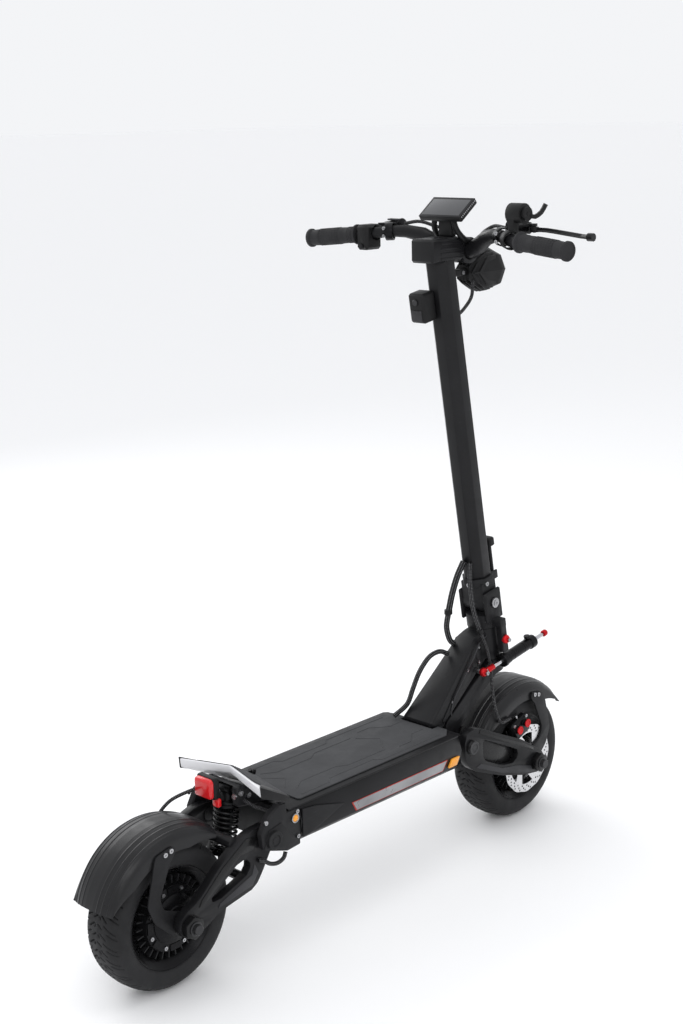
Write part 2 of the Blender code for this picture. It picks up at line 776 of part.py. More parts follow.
def rear_casting():
    """The end wall of the tray, two ears beside the arm and the arm's stub pivots."""
    wall = flat(
        "rear_casting",
        [[(-0.0900, 0.1915), (0.0900, 0.1915), (0.0930, 0.2300), (0.0870, TUB_TOP),
          (-0.0870, TUB_TOP), (-0.0930, 0.2300)]],
        0.0280,
        spot(0.2050 + 0.0140, 0, 0),
        "front",
    )
    ear = [(min(ahead, TUB_REAR - GAP), up) for ahead, up in CASTING_EAR]
    ears = [
        flat("casting_ear", [ear], 0.0145, spot(0, side * 0.0876, 0), bevel=0.0025)
        for side in (-1, 1)
    ]
    stubs = [
        across("casting_stub", REAR_PIVOT, side * 0.0610, side * 0.0820, 0.0120, 20) for side in (-1, 1)
    ]
    caps = [
        across("casting_cap", REAR_PIVOT, side * 0.0930, side * 0.0985, 0.0165, 16) for side in (-1, 1)
    ]
    join(wall, *ears, *stubs, *caps)
    finish(wall, SATIN_BLACK, 0.45, 0.4)
    hang(wall, CHASSIS)


NECK_OUTLINE = [
    (0.6535, 0.2040), (0.6535, 0.2592), (0.6375, 0.2622), (0.6375, 0.2720), (0.7820, 0.3990),
    (0.8000, 0.4055), (0.8300, 0.4100), (0.8400, 0.3540), (0.8140, 0.3480), (0.6780, 0.2575),
    (0.6650, 0.2400), (0.6620, 0.2040),
]
NOSE_PLAN = [(0.6530, -0.0930), (0.6530, 0.0930), (0.6600, 0.0840), (0.6635, 0.0), (0.6600, -0.0840)]


def neck():
    """The nose of the chassis, the leaning neck and the head tube in one casting."""
    column = flat("neck", [NECK_OUTLINE], 0.072, spot(0, 0, 0), bevel=0.006)
    for vertex in column.data.vertices:
        along = (vertex.co.x - 0.660) / 0.130
        vertex.co.z *= 1.0 - 0.40 * max(0.0, min(1.0, along))
    nose = flat("neck_nose", [NOSE_PLAN], 0.066, spot(0, 0, 0.2255), "plan")
    head = axis_rod("neck_head", 0.0, HEAD_LENGTH, 0.0300)
    bore = axis_rod("neck_bore", -0.05, HEAD_LENGTH + 0.05, 0.0154, 20)
    join(column, nose, head)
    cut(column, bore)
    finish(column, SATIN_BLACK, 0.45, 0.4)
    hang(column, CHASSIS)


SHOCK_BRACKET_OUTLINE = [
    (0.146, 0.2700), (0.146, 0.3030), (0.156, 0.3070), (0.190, 0.2840), (0.216, 0.2715), (0.2400, 0.2690),
    (0.2400, DECK_TOP + GAP), (0.190, DECK_TOP + GAP),
]


def shock_bracket():
    """The riser that carries the shock's top eye and the kick plate."""
    riser = flat("shock_bracket", [SHOCK_BRACKET_OUTLINE], 0.0760, spot(0, 0, 0), bevel=0.002)
    pocket = block("shock_pocket", (0.0600, 0.0520, 0.0500), spot(0.1560, 0, 0.2790))
    pin = across("shock_top_pin", SHOCK_TOP, -0.0300, 0.0300, 0.0050, 12)
    cut(riser, pocket)
    join(riser, pin)
    finish(riser, BLACK, 0.40, 0.4)
    hang(riser, CHASSIS)


KICK_CORNERS = {
    # (at the end, on top, ahead): (ahead, left, up)
    (0, 0, 0): (0.166, 0.0, 0.3145), (0, 0, 1): (0.228, 0.0, 0.2720),
    (0, 1, 0): (0.164, 0.0, 0.3290), (0, 1, 1): (0.228, 0.0, 0.2860),
    (1, 0, 0): (0.142, 0.1, 0.3050), (1, 0, 1): (0.205, 0.1, 0.2780),
    (1, 1, 0): (0.140, 0.1, 0.3230), (1, 1, 1): (0.205, 0.1, 0.2860),
}


def kick_plate():
    """The swept foot rest over the rear wheel, its left half mirrored."""

    def build(bm):
        bmesh.ops.create_cube(bm, size=1.0)
        for vertex in bm.verts:
            corner = (int(vertex.co.y > 0), int(vertex.co.z > 0), int(vertex.co.x > 0))
            vertex.co = spot(*KICK_CORNERS[corner])
        middle = [face for face in bm.faces if all(abs(v.co.y) < 1e-6 for v in face.verts)]
        bmesh.ops.delete(bm, geom=middle, context="FACES_ONLY")

    plate = add_object("kick_plate", mesh_from(build))
    mirror = plate.modifiers.new("both_halves", "MIRROR")
    mirror.use_axis = (False, True, False)
    mirror.merge_threshold = 0.0001
    edges = plate.modifiers.new("edges", "BEVEL")
    edges.width = 0.002
    edges.segments = 1
    edges.angle_limit = radians(40)
    finish(plate, WHITE, 0.35)
    hang(plate, CHASSIS)


def tail_light():
    lamp = block("tail_light", (0.022, 0.044, 0.038), spot(0.112, 0, 0.307), bevel=0.005)
    stalk = block("tail_light_stalk", (0.0360, 0.018, 0.014), spot(0.1277, 0, 0.297))
    join(lamp, stalk)
    finish(lamp, RED, 0.25)
    hang(lamp, CHASSIS)


def damper_rod():
    """The damper's fixed rod, its ball joint on the neck and its red end."""
    ball_at = -0.0640
    left = -DAMPER_OFFSET
    bar = rod("damper_rod", on_axis(ball_at, left, 0), on_axis(0.130, left, 0), 0.0040, 12)
    ball = rod(
        "damper_ball", on_axis(ball_at, -0.0262, 0.0), on_axis(ball_at, -0.0520, 0.0), 0.0080, 12
    )
    tip = rod("damper_tip", on_axis(0.122, -DAMPER_OFFSET, 0), on_axis(0.132, -DAMPER_OFFSET, 0), 0.0060, 12)
    join(bar, ball, tip)
    finish(bar, SILVER, 0.25, 1.0)
    hang(bar, CHASSIS)


def damper_body():
    """The damper's cylinder, which slides on the rod."""
    left = -DAMPER_OFFSET
    body = rod("damper_body", on_axis(0.002, left, 0), on_axis(0.088, left, 0), 0.0110, 16)
    collar = rod(
        "damper_collar", on_axis(-0.010, -DAMPER_OFFSET, 0), on_axis(0.010, -DAMPER_OFFSET, 0), 0.0135, 16
    )
    cap = rod("damper_cap", on_axis(0.074, -DAMPER_OFFSET, 0), on_axis(0.090, -DAMPER_OFFSET, 0), 0.0130, 16)
    bore = rod("damper_bore", on_axis(-0.03, -DAMPER_OFFSET, 0), on_axis(0.11, -DAMPER_OFFSET, 0), 0.0044, 12)
    join(body, collar, cap)
    cut(body, bore)
    finish(body, BLACK, 0.30, 0.6)
    hang(body, DAMPER)


KICKSTAND_AXIS = Vector((0.0, -0.981, -0.196)).normalized()
KICKSTAND_FOOT = spot(0.205, 0.1500, 0.006)


def kickstand():
    """The side stand: a hub on its pivot, a leg and a flat foot on the floor."""
    hub = rod(
        "kickstand",
        KICKSTAND_PIVOT + KICKSTAND_AXIS * 0.0065,
        KICKSTAND_PIVOT - KICKSTAND_AXIS * 0.0080,
        0.0120,
        16,
    )
    leg = rod("kickstand_leg", KICKSTAND_PIVOT, KICKSTAND_FOOT, 0.0085, 10, 0.0065)
    foot_at = KICKSTAND_FOOT - Vector((0, 0, 0.002))
    foot = block("kickstand_foot", (0.034, 0.022, 0.0080), foot_at, bevel=0.002)
    join(hub, leg, foot)
    finish(hub, BLACK, 0.40, 0.6)
    hang(hub, KICKSTAND)


# ---- stem ----
def stem_tube():
    """The octagonal stem, hollow from end to end."""
    outer = axis_octagon("stem_tube", STEM_START, STEM_END, STEM_FLATS)
    inner = axis_octagon("stem_hollow", STEM_START - 0.02, STEM_END + 0.02, STEM_FLATS - 0.006)
    cut(outer, inner)
    finish(outer, SATIN_BLACK, 0.40, 0.5)
    hang(outer, STEM)


def stem_foot():
    """The stem's half of the fold hinge: a knuckle, a collar and lugs for the latch."""
    knuckle = rod("stem_foot", on_stem(0, -0.0258, 0), on_stem(0, 0.0258, 0), 0.0215, 24)
    shank = axis_block("foot_shank", (-0.0200, -0.0255, 0.0), (0.0200, 0.0255, 0.042), base=FOLD_PIN)
    collar = axis_octagon("foot_collar", 0.0356, STEM_START - GAP, 0.0560)
    lugs = [
        axis_block("foot_lug", (0.020, low, 0.0300), (0.0460, high, 0.0480), 0.002, FOLD_PIN)
        for low, high in ((-0.0130, -0.0084), (0.0084, 0.0130))
    ]
    pin_ends = [on_stem(LATCH_AHEAD, left, LATCH_UP) for left in (-0.0120, 0.0120)]
    pin = rod("foot_latch_pin", *pin_ends, 0.0025, 12)
    bore = rod("foot_bore", on_stem(0, -0.05, 0), on_stem(0, 0.05, 0), 0.0063, 16)
    join(knuckle, shank, collar, *lugs, pin)
    cut(knuckle, bore)
    finish(knuckle, SATIN_BLACK, 0.42, 0.5)
    hang(knuckle, STEM)


LATCH_AHEAD = 0.0390
LATCH_UP = 0.0390


def latch_lever():
    """The fold latch on the stem's front."""
    pivot = on_stem(LATCH_AHEAD, 0, LATCH_UP)
    joint = add_empty("latch_joint", pivot, STEM)
    hub = rod("latch_lever", pivot + Vector((0, -0.0080, 0)), pivot + Vector((0, 0.0080, 0)), 0.0062, 16)
    blade = axis_block("latch_blade", (0.0345, -0.0080, LATCH_UP), (0.0425, 0.0080, 0.1080), 0.002, FOLD_PIN)
    thumb = axis_block("latch_thumb", (0.0345, -0.0110, 0.0960), (0.0500, 0.0110, 0.1140), 0.003, FOLD_PIN)
    bore = rod("latch_bore", pivot + Vector((0, -0.02, 0)), pivot + Vector((0, 0.02, 0)), 0.0029, 12)
    join(hub, blade, thumb)
    cut(hub, bore)
    finish(hub, BLACK, 0.40, 0.5)
    hang(hub, joint)


def stem_head():
    """The block on top of the stem, with the handlebar clamp in front."""
    body = block("stem_head", (0.084, 0.052, 0.042), spot(0.7040, 0, 1.1390), bevel=0.004)
    clamp = across("bar_clamp", BAR_ROUTE[0][::2], -0.026, 0.026, 0.0235, 20)
    seat = across("bar_seat", BAR_ROUTE[0][::2], -0.040, 0.040, BAR_RADIUS + 0.0011, 20)
    socket = axis_octagon("head_socket", 0.600, STEM_END + 0.0006, STEM_FLATS + 0.0008)
    join(body, clamp)
    cut(body, seat, socket)
    finish(body, SATIN_BLACK, 0.45, 0.4)
    hang(body, STEM)


def bar_points():
    """The handlebar's centre line from the right end to the left."""
    left = [spot(*place) for place in BAR_ROUTE]
    right = [Vector((place.x, -place.y, place.z)) for place in reversed(left[1:])]
    return smooth_route(right + left, 0.022)


def handlebar():
    """A swept riser bar, thick in the clamp and thin under the grips."""
    points = bar_points()
    radii = []
    for place in points:
        taper = max(0.0, min(1.0, (abs(place.y) - 0.045) / 0.075))
        radii.append((BAR_RADIUS + (BAR_END_RADIUS - BAR_RADIUS) * taper) / BAR_RADIUS)
    bar = tube("handlebar", points, BAR_RADIUS, 3, radii)
    finish(bar, BLACK, 0.35, 0.7)
    hang(bar, STEM)


def bar_place(left):
    """The handlebar's centre and direction, outwards, at a distance left."""
    points = bar_points()
    for here, there in zip(points, points[1:]):
        if here.y <= left <= there.y:
            share = (left - here.y) / (there.y - here.y)
            direction = (there - here).normalized()
            return here.lerp(there, share), direction if left > 0 else -direction
    return points[-1], (points[-1] - points[-2]).normalized()


def around_bar(name, left, width, radius, sides=16, bore=BAR_END_RADIUS + 0.0005):
    """A ring round the handlebar, made as a short bar, and the cutter for its bore."""
    place, direction = bar_place(left)
    ring = rod(name, place - direction * width / 2, place + direction * width / 2, radius, sides)
    hole = rod(name + "_hole", place - direction * width, place + direction * width, bore, 16)
    return ring, hole


def grip(name, side):
    start, direction = bar_place(side * 0.2440)
    length = 0.114
    sleeve = rod(name, start - direction * length / 2, start + direction * length / 2, 0.0155, 16)
    flange = rod(name + "_flange", start - direction * 0.057, start - direction * 0.0530, 0.0185, 16)
    end = rod(name + "_end", start + direction * 0.0515, start + direction * 0.0585, 0.0172, 16)
    bore_radius = BAR_END_RADIUS + 0.0006
    bore = rod(name + "_bore", start - direction * 0.080, start + direction * 0.0555, bore_radius, 16)
    join(sleeve, flange, end)
    cut(sleeve, bore)
    finish(sleeve, (0.05, 0.05, 0.052), 0.8)
    hang(sleeve, STEM)


DISPLAY_TILT = radians(36)
DISPLAY_CENTRE = (0.7345, 0.0, 1.2080)


def display():
    """The screen tablet, tipped up towards the rider, and its foot on the stem head."""
    tablet = block("display", (0.054, 0.097, 0.0120), spot(*DISPLAY_CENTRE), -DISPLAY_TILT, 0.003)
    foot = block("display_foot", (0.020, 0.034, 0.0420), spot(0.7330, 0, 1.1603 + 0.0210))
    join(tablet, foot)
    finish(tablet, BLACK, 0.30)
    hang(tablet, STEM)


def headlight():
    """The ribbed lamp in front of the stem."""
    lamp = rod("headlight", spot(0.776, 0, 1.092), spot(0.814, 0, 1.094), 0.017, 6, 0.039)
    nose = rod("headlight_bezel", spot(0.812, 0, 1.094), spot(0.856, 0, 1.096), 0.039, 6, 0.036)
    arm = block("headlight_arm", (0.040, 0.020, 0.014), spot(0.7642, 0, 1.0940))
    join(lamp, nose, arm)
    finish(lamp, BLACK, 0.40, 0.3)
    hang(lamp, STEM)


def lock_box():
    box = axis_block("lock_box", (-0.0600, -0.002, 0.5640), (-0.0254, 0.0340, 0.6180), 0.004, FOLD_PIN)
    finish(box, BLACK, 0.35)
    hang(box, STEM)


def switch_pod():
    """The left control pod, with a hole for the horn button on the rider's side."""
    place, _ = bar_place(0.166)
    pod = block("switch_pod", (0.042, 0.028, 0.046), place + Vector((0.001, 0, -0.006)), bevel=0.005)
    along = [point for point in bar_points() if 0.09 < point.y < 0.24]
    hole = mesh_tube("switch_pod_hole", along, BAR_END_RADIUS + 0.0030)
    button_at = place + Vector((0, 0, -0.0225))
    well_ends = [button_at + Vector((ahead, 0, 0)) for ahead in (-0.034, -0.0120)]
    well = rod("button_well", *well_ends, 0.0056, 12)
    cut(pod, hole, well)
    finish(pod, BLACK, 0.45)
    hang(pod, STEM)
    joint = add_empty("horn_joint", button_at, STEM)
    button_ends = [button_at + Vector((ahead, 0, 0)) for ahead in (-0.0230, -0.0152)]
    button = rod("horn_button", *button_ends, 0.0050, 12)
    finish(button, RED, 0.45)
    hang(button, joint)


def brake_perch(side_name, side, drop):
    """The lever clamp and master cylinder, and the lever on its own pivot."""
    name = "brake_perch_" + side_name
    ring, hole = around_bar(name, side * 0.1310, 0.014, 0.0165, bore=BAR_END_RADIUS + 0.0030)
    clamp_at, _ = bar_place(side * 0.1310)
    cylinder = rod(
        name + "_cylinder",
        clamp_at + Vector((0.027, side * -0.008, 0.016 - drop * 0.2)),
        clamp_at + Vector((0.030, side * 0.036, 0.014 - drop * 0.5)),
        0.0105,
        12,
    )
    link = block(name + "_link", (0.030, 0.012, 0.016), clamp_at + Vector((0.015, 0, 0.008)))
    join(ring, cylinder, link)
    cut(ring, hole)
    finish(ring, BLACK, 0.35, 0.5)
    hang(ring, STEM)
    pivot = clamp_at + Vector((0.0300, side * 0.0460, 0.012 - drop * 0.5))
    joint = add_empty("brake_lever_" + side_name + "_joint", pivot, STEM)
    ear = block(name + "_ear", (0.016, 0.020, 0.0050), pivot + Vector((-0.002, side * -0.008, 0.0075)))
    post = rod(name + "_post", pivot + Vector((0, 0, -0.0055)), pivot + Vector((0, 0, 0.0080)), 0.0030, 12)
    join(ring, ear, post)
    lever = rod(
        "brake_lever_" + side_name,
        pivot + Vector((0, 0, -0.0045)),
        pivot + Vector((0, 0, 0.0045)),
        0.0080,
        16,
    )
    route = [
        pivot,
        pivot + Vector((0.006, side * 0.022, -0.001)),
        pivot + Vector((0.002, side * 0.060, -0.004 - drop * 0.5)),
        pivot + Vector((-0.008, side * 0.104, -0.007 - drop)),
        pivot + Vector((-0.0100, side * 0.1240, -0.008 - drop)),
    ]
    blade = mesh_tube("brake_blade_" + side_name, smooth_route(route, 0.018), 0.0044, 1)
    ball = rod("brake_ball_" + side_name, Vector(route[-1]) - Vector((0, side * 0.004, 0)),
               Vector(route[-1]) + Vector((0, side * 0.007, 0)), 0.0070, 10)
    bore_ends = [pivot + Vector((0, 0, up)) for up in (-0.02, 0.02)]
    bore = rod("brake_bore_" + side_name, *bore_ends, 0.0034, 12)
    join(lever, blade, ball)
    cut(lever, bore)
    finish(lever, BLACK, 0.30, 0.7)
    hang(lever, joint)
    return pivot


THROTTLE_AXIS_AT = spot(0.7220, -0.1700, 1.2060)


def throttle():
    """The round throttle pod above the bar and the paddle on its outer face."""
    ring, hole = around_bar("throttle_pod", -0.1620, 0.016, 0.0165, bore=BAR_END_RADIUS + 0.0030)
    pod = rod(
        "throttle_drum",
        THROTTLE_AXIS_AT + Vector((0, 0.0170, 0)),
        THROTTLE_AXIS_AT + Vector((0, -0.0120, 0)),
        0.0180,
        20,
    )
    place, _ = bar_place(-0.1620)
    middle = (place + THROTTLE_AXIS_AT + Vector((0, 0.006, 0))) / 2
    link = block("throttle_link", (0.014, 0.012, 0.040), middle)
    spindle = rod(
        "throttle_spindle", THROTTLE_AXIS_AT, THROTTLE_AXIS_AT + Vector((0, -0.0200, 0)), 0.0040, 12
    )
    join(ring, pod, link, spindle)
    cut(ring, hole)
    finish(ring, BLACK, 0.45)
    hang(ring, STEM)
    joint = add_empty("throttle_joint", THROTTLE_AXIS_AT, STEM)
    paddle = rod(
        "throttle_paddle",
        THROTTLE_AXIS_AT + Vector((0, -0.0124, 0)),
        THROTTLE_AXIS_AT + Vector((0, -0.0195, 0)),
        0.0120,
        16,
    )
    route = [
        THROTTLE_AXIS_AT + Vector((0.007, -0.0175, -0.004)),
        THROTTLE_AXIS_AT + Vector((0.020, -0.018, -0.006)),
        THROTTLE_AXIS_AT + Vector((0.031, -0.023, 0.001)),
        THROTTLE_AXIS_AT + Vector((0.036, -0.029, 0.015)),
    ]
    blade = mesh_tube("throttle_blade", smooth_route(route, 0.009), 0.0042, 1)
    bore = rod("throttle_bore", THROTTLE_AXIS_AT, THROTTLE_AXIS_AT + Vector((0, -0.03, 0)), 0.0044, 12)
    join(paddle, blade)
    cut(paddle, bore)
    finish(paddle, BLACK, 0.40)
    hang(paddle, joint)


# ---- cables that the scooter holds from end to end ----
LOOM_ROUTE = [
    (0.7800, 0.004, 0.5480), (0.7680, 0.010, 0.5200), (0.7620, 0.018, 0.4850), (0.7560, 0.022, 0.4500),
    (0.7500, 0.022, 0.4220), (0.7560, 0.020, 0.3960), (0.7640, 0.016, 0.3860),
]
NECK_LOOM_ROUTE = [
    (0.7440, 0.014, 0.3712), (0.7240, 0.018, 0.3800), (0.7000, 0.023, 0.3740), (0.6780, 0.028, 0.3500),
    (0.6620, 0.031, 0.3200), (0.6510, 0.032, 0.2980), (0.6440, 0.0370, 0.2860), (0.6240, 0.0460, 0.2715),
]
BRAKE_HOSE_ROUTE = [
    (0.7820, -0.010, 0.5460), (0.7720, -0.018, 0.5100), (0.7720, -0.026, 0.4600),
    (0.7840, -0.033, 0.4150), (0.8000, -0.0345, 0.3800), (0.8110, -0.0345, 0.3450),
    (0.8120, -0.0380, 0.3150), (0.8040, -0.0480, 0.2850), (0.8000, -0.0590, 0.2550),
    (0.8140, -0.0600, 0.2300), (0.8440, -0.0590, 0.2290),
]
MOTOR_CABLE_ROUTE = [
    (0.2060, -0.0860, 0.1850), (0.2000, -0.0870, 0.1760), (0.1860, -0.0870, 0.1720),
    (0.1700, -0.0860, 0.1760), (0.1580, -0.0840, 0.1850), (0.1480, -0.0815, 0.1880),
]


def cables():
    for name, route, radius, spacing in (
        ("stem_loom", LOOM_ROUTE, 0.0055, 0.014),
        ("neck_loom", NECK_LOOM_ROUTE, 0.0045, 0.012),
        ("front_brake_hose", BRAKE_HOSE_ROUTE, 0.0026, 0.018),
        ("rear_motor_cable", MOTOR_CABLE_ROUTE, 0.0032, 0.009),
    ):
        points = smooth_route([spot(*place) for place in route], spacing)
        cable = tube(name, points, radius, 2)
        finish(cable, BLACK, 0.55)
        hang(cable, CHASSIS)


def build_scooter():
    chassis_tub()
    deck()
    battery_and_controller()
    rear_casting()
    neck()
    shock_bracket()
    kick_plate()
    tail_light()
    damper_rod()
    damper_body()
    kickstand()
    rear_swingarm()
    shock_body()
    shock_rod()
    shock_spring()
    front_swingarm()
    fork_bracket()
    front_pivot_shaft()
    fold_base()
    fold_pin()
    for end, place, arm, wheel, disc_side, facing, arc, caliper_deg in (
        ("rear", REAR_AXLE, REAR_ARM, REAR_WHEEL, 1, 1, (55, 158), 70),
        ("front", FRONT_AXLE, FRONT_ARM, FRONT_WHEEL, -1, -1, (38, 145), 110),
    ):
        tyre(end + "_tyre", wheel)
        hub_motor(end + "_hub_motor", wheel, disc_side)
        brake_disc(end + "_brake_disc", wheel, disc_side)
        axle(end + "_axle", place, arm)
        fender(end + "_fender", place, *arc, arm)
        fender_stay(end + "_fender_stay_right", place, facing, -1, arm)
        fender_stay(end + "_fender_stay_left", place, facing, 1, arm)
        caliper(end + "_caliper", place, caliper_deg, disc_side, arm)
    stem_tube()
    stem_foot()
    latch_lever()
    stem_head()
    handlebar()
    grip("grip_left", 1)
    grip("grip_right", -1)
    display()
    headlight()
    lock_box()
    switch_pod()
    brake_perch("left", 1, 0.018)
    brake_perch("right", -1, 0.0)
    throttle()
    cables()


build_scooter()
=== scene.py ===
# %% [markdown]
# # An electric kick scooter, finished in Blender
# The scooter's mechanical model is already packed: its parts, joints and sizes are fixed.
# This lesson dresses that model. It rounds the edges of the metal parts, cuts a tread into
# the tyres, drills the brake discs, winds the spring, routes the hoses and gives each
# surface its own finish. Everything is in metres: +X is forward, +Y is to the rider's
# left and +Z is up.

import json
from math import cos, pi, radians, sin

import bmesh
import bpy
import numpy as np
from mathutils import Matrix, Vector
from mathutils.bvhtree import BVHTree


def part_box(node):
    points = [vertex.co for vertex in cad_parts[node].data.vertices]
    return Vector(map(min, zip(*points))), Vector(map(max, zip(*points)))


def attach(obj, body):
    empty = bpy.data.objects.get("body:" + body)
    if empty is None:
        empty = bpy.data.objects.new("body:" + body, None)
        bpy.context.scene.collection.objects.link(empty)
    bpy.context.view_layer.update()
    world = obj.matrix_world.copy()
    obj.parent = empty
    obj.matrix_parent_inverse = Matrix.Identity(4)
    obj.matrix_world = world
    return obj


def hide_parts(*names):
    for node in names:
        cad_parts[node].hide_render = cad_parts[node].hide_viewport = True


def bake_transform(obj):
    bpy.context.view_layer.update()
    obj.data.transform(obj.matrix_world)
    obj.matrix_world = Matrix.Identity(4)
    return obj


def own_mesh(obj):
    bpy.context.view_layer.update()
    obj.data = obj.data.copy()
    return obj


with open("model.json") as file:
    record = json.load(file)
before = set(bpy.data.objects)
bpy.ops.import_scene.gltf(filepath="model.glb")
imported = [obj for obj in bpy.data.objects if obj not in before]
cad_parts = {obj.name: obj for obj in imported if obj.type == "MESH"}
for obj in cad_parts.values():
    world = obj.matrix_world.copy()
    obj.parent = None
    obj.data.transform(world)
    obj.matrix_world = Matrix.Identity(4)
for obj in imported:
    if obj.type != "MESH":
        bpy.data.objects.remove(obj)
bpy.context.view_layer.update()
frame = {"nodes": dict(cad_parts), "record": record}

# %% [markdown]
# ## Where things are
# Places are counted from the rear axle, as a workshop drawing would: `ahead` of the axle,
# to the `left` of the middle, and `up` from the floor. The axle's own place comes from the
# packed rear tyre, and the joints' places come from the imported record.


# %% Places
def middle_of(node):
    low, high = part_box(node)
    return (Vector(low) + Vector(high)) / 2


REAR_AXLE = middle_of("rear_tyre")
FRONT_AXLE = middle_of("front_tyre")
JOINTS = {joint["name"]: joint for joint in frame["record"]["behaviour"]["joints"]}
WHEEL_RADIUS = REAR_AXLE.z


def spot(ahead, left, up):
    return Vector((REAR_AXLE.x + ahead, left, up))


STEER_AXIS = Vector(JOINTS["steering"]["axis"])
STEER_AHEAD = Vector((STEER_AXIS.z, 0.0, -STEER_AXIS.x))
STEER_FOOT = Vector(JOINTS["steering"]["pos_m"])
FOLD_PIN = Vector(JOINTS["stem_fold"]["pos_m"])


def on_stem(ahead, left, along, base=FOLD_PIN):
    """A point in the stem's own leaning frame."""
    return base + STEER_AHEAD * ahead + Vector((0, left, 0)) + STEER_AXIS * along


print("wheelbase", round(FRONT_AXLE.x - REAR_AXLE.x, 4), "wheel radius", round(WHEEL_RADIUS, 4))

# %% [markdown]
# ## Camera, floor and lights
# A long lens from behind the rider's right, a little above the handlebar's height, shows
# the deck, the rear wheel and the stem at once. The floor and the light are pale and soft, so
# that the black paint is read from its edges and its gloss.

# %% Camera
VIEW_YAW = radians(44.119)
VIEW_PITCH = radians(-13.755)
VIEW_ROLL = radians(-1.248)


def add_camera():
    facing = Vector((cos(VIEW_PITCH) * cos(VIEW_YAW), cos(VIEW_PITCH) * sin(VIEW_YAW), sin(VIEW_PITCH)))
    level = facing.cross(Vector((0, 0, 1))).normalized()
    up = level.cross(facing)
    right = level * cos(VIEW_ROLL) + up * sin(VIEW_ROLL)
    top = up * cos(VIEW_ROLL) - level * sin(VIEW_ROLL)
    data = bpy.data.cameras.new("camera")
    data.lens = 58.15
    data.sensor_width = 36.0
    camera = bpy.data.objects.new("camera", data)
    bpy.context.scene.collection.objects.link(camera)
    camera.matrix_world = Matrix.Translation(spot(-1.54797, -1.93390, 1.38887)) @ Matrix(
        (right, top, -facing)
    ).transposed().to_4x4()
    bpy.context.scene.camera = camera


add_camera()


# %% Floor and lights
def add_floor():
    mesh = bpy.data.meshes.new("floor")
    reach = 90.0
    mesh.from_pydata([(-reach, -reach, 0), (reach, -reach, 0), (reach, reach, 0), (-reach, reach, 0)], [],
                     [(0, 1, 2, 3)])
    floor = bpy.data.objects.new("floor", mesh)
    bpy.context.scene.collection.objects.link(floor)
    floor.location.z = -0.0005
    material = bpy.data.materials.new("pale_floor")
    material.use_nodes = True
    shader = material.node_tree.nodes["Principled BSDF"]
    shader.inputs["Base Color"].default_value = (0.985, 0.985, 0.99, 1)
    shader.inputs["Roughness"].default_value = 0.65
    mesh.materials.append(material)


def add_light(name, place, target, size, power):
    data = bpy.data.lights.new(name, "AREA")
    data.shape = "RECTANGLE"
    data.size = size[0]
    data.size_y = size[1]
    data.energy = power
    lamp = bpy.data.objects.new(name, data)
    bpy.context.scene.collection.objects.link(lamp)
    lamp.location = place
    lamp.rotation_euler = (Vector(target) - Vector(place)).to_track_quat("-Z", "Y").to_euler()


def add_world(strength):
    world = bpy.data.worlds.new("studio")
    world.use_nodes = True
    background = world.node_tree.nodes["Background"]
    background.inputs["Color"].default_value = (0.97, 0.98, 1.0, 1)
    background.inputs["Strength"].default_value = strength
    bpy.context.scene.world = world


add_floor()
add_world(0.93)
add_light("key", (-2.2, -2.6, 2.8), (0, 0, 0.4), (2.4, 1.6), 26)
add_light("rim", (0.4, 3.0, 2.2), (0, 0, 0.5), (2.6, 1.4), 34)
add_light("top", (0.2, -0.4, 3.4), (0, 0, 0.4), (2.2, 2.2), 16)
bpy.context.scene.view_settings.view_transform = "Standard"
print("camera, floor and three soft lights")

# %% [markdown]
# ## Finishes
# Every finish starts from one recipe: a base colour that drifts a little over the piece, a
# roughness that varies with it, and a fine bump at the scale of the real grain. Paint,
# rubber, steel and plastic differ in the numbers, and a few add a pattern of their own.


# %% The base recipe for a surface
SPECULAR = 0.20


def link_noise(tree, vector, scale, detail=3.0):
    node = tree.nodes.new("ShaderNodeTexNoise")
    node.inputs["Scale"].default_value = scale
    node.inputs["Detail"].default_value = detail
    tree.links.new(vector, node.inputs["Vector"])
    return node.outputs["Fac"]


def link_range(tree, value, low, high, start=0.3, end=0.7):
    node = tree.nodes.new("ShaderNodeMapRange")
    node.inputs["From Min"].default_value = start
    node.inputs["From Max"].default_value = end
    node.inputs["To Min"].default_value = low
    node.inputs["To Max"].default_value = high
    tree.links.new(value, node.inputs["Value"])
    return node.outputs["Result"]


def link_mix(tree, factor, first, second):
    """Mixes two colours. Each is a colour or another node's output."""
    node = tree.nodes.new("ShaderNodeMix")
    node.data_type = "RGBA"
    tree.links.new(factor, node.inputs[0])
    for socket, colour in ((node.inputs[6], first), (node.inputs[7], second)):
        if isinstance(colour, tuple):
            socket.default_value = (*colour, 1.0)
        else:
            tree.links.new(colour, socket)
    return node.outputs[2]


def shade(colour, factor):
    return tuple(min(1.0, channel * factor) for channel in colour)


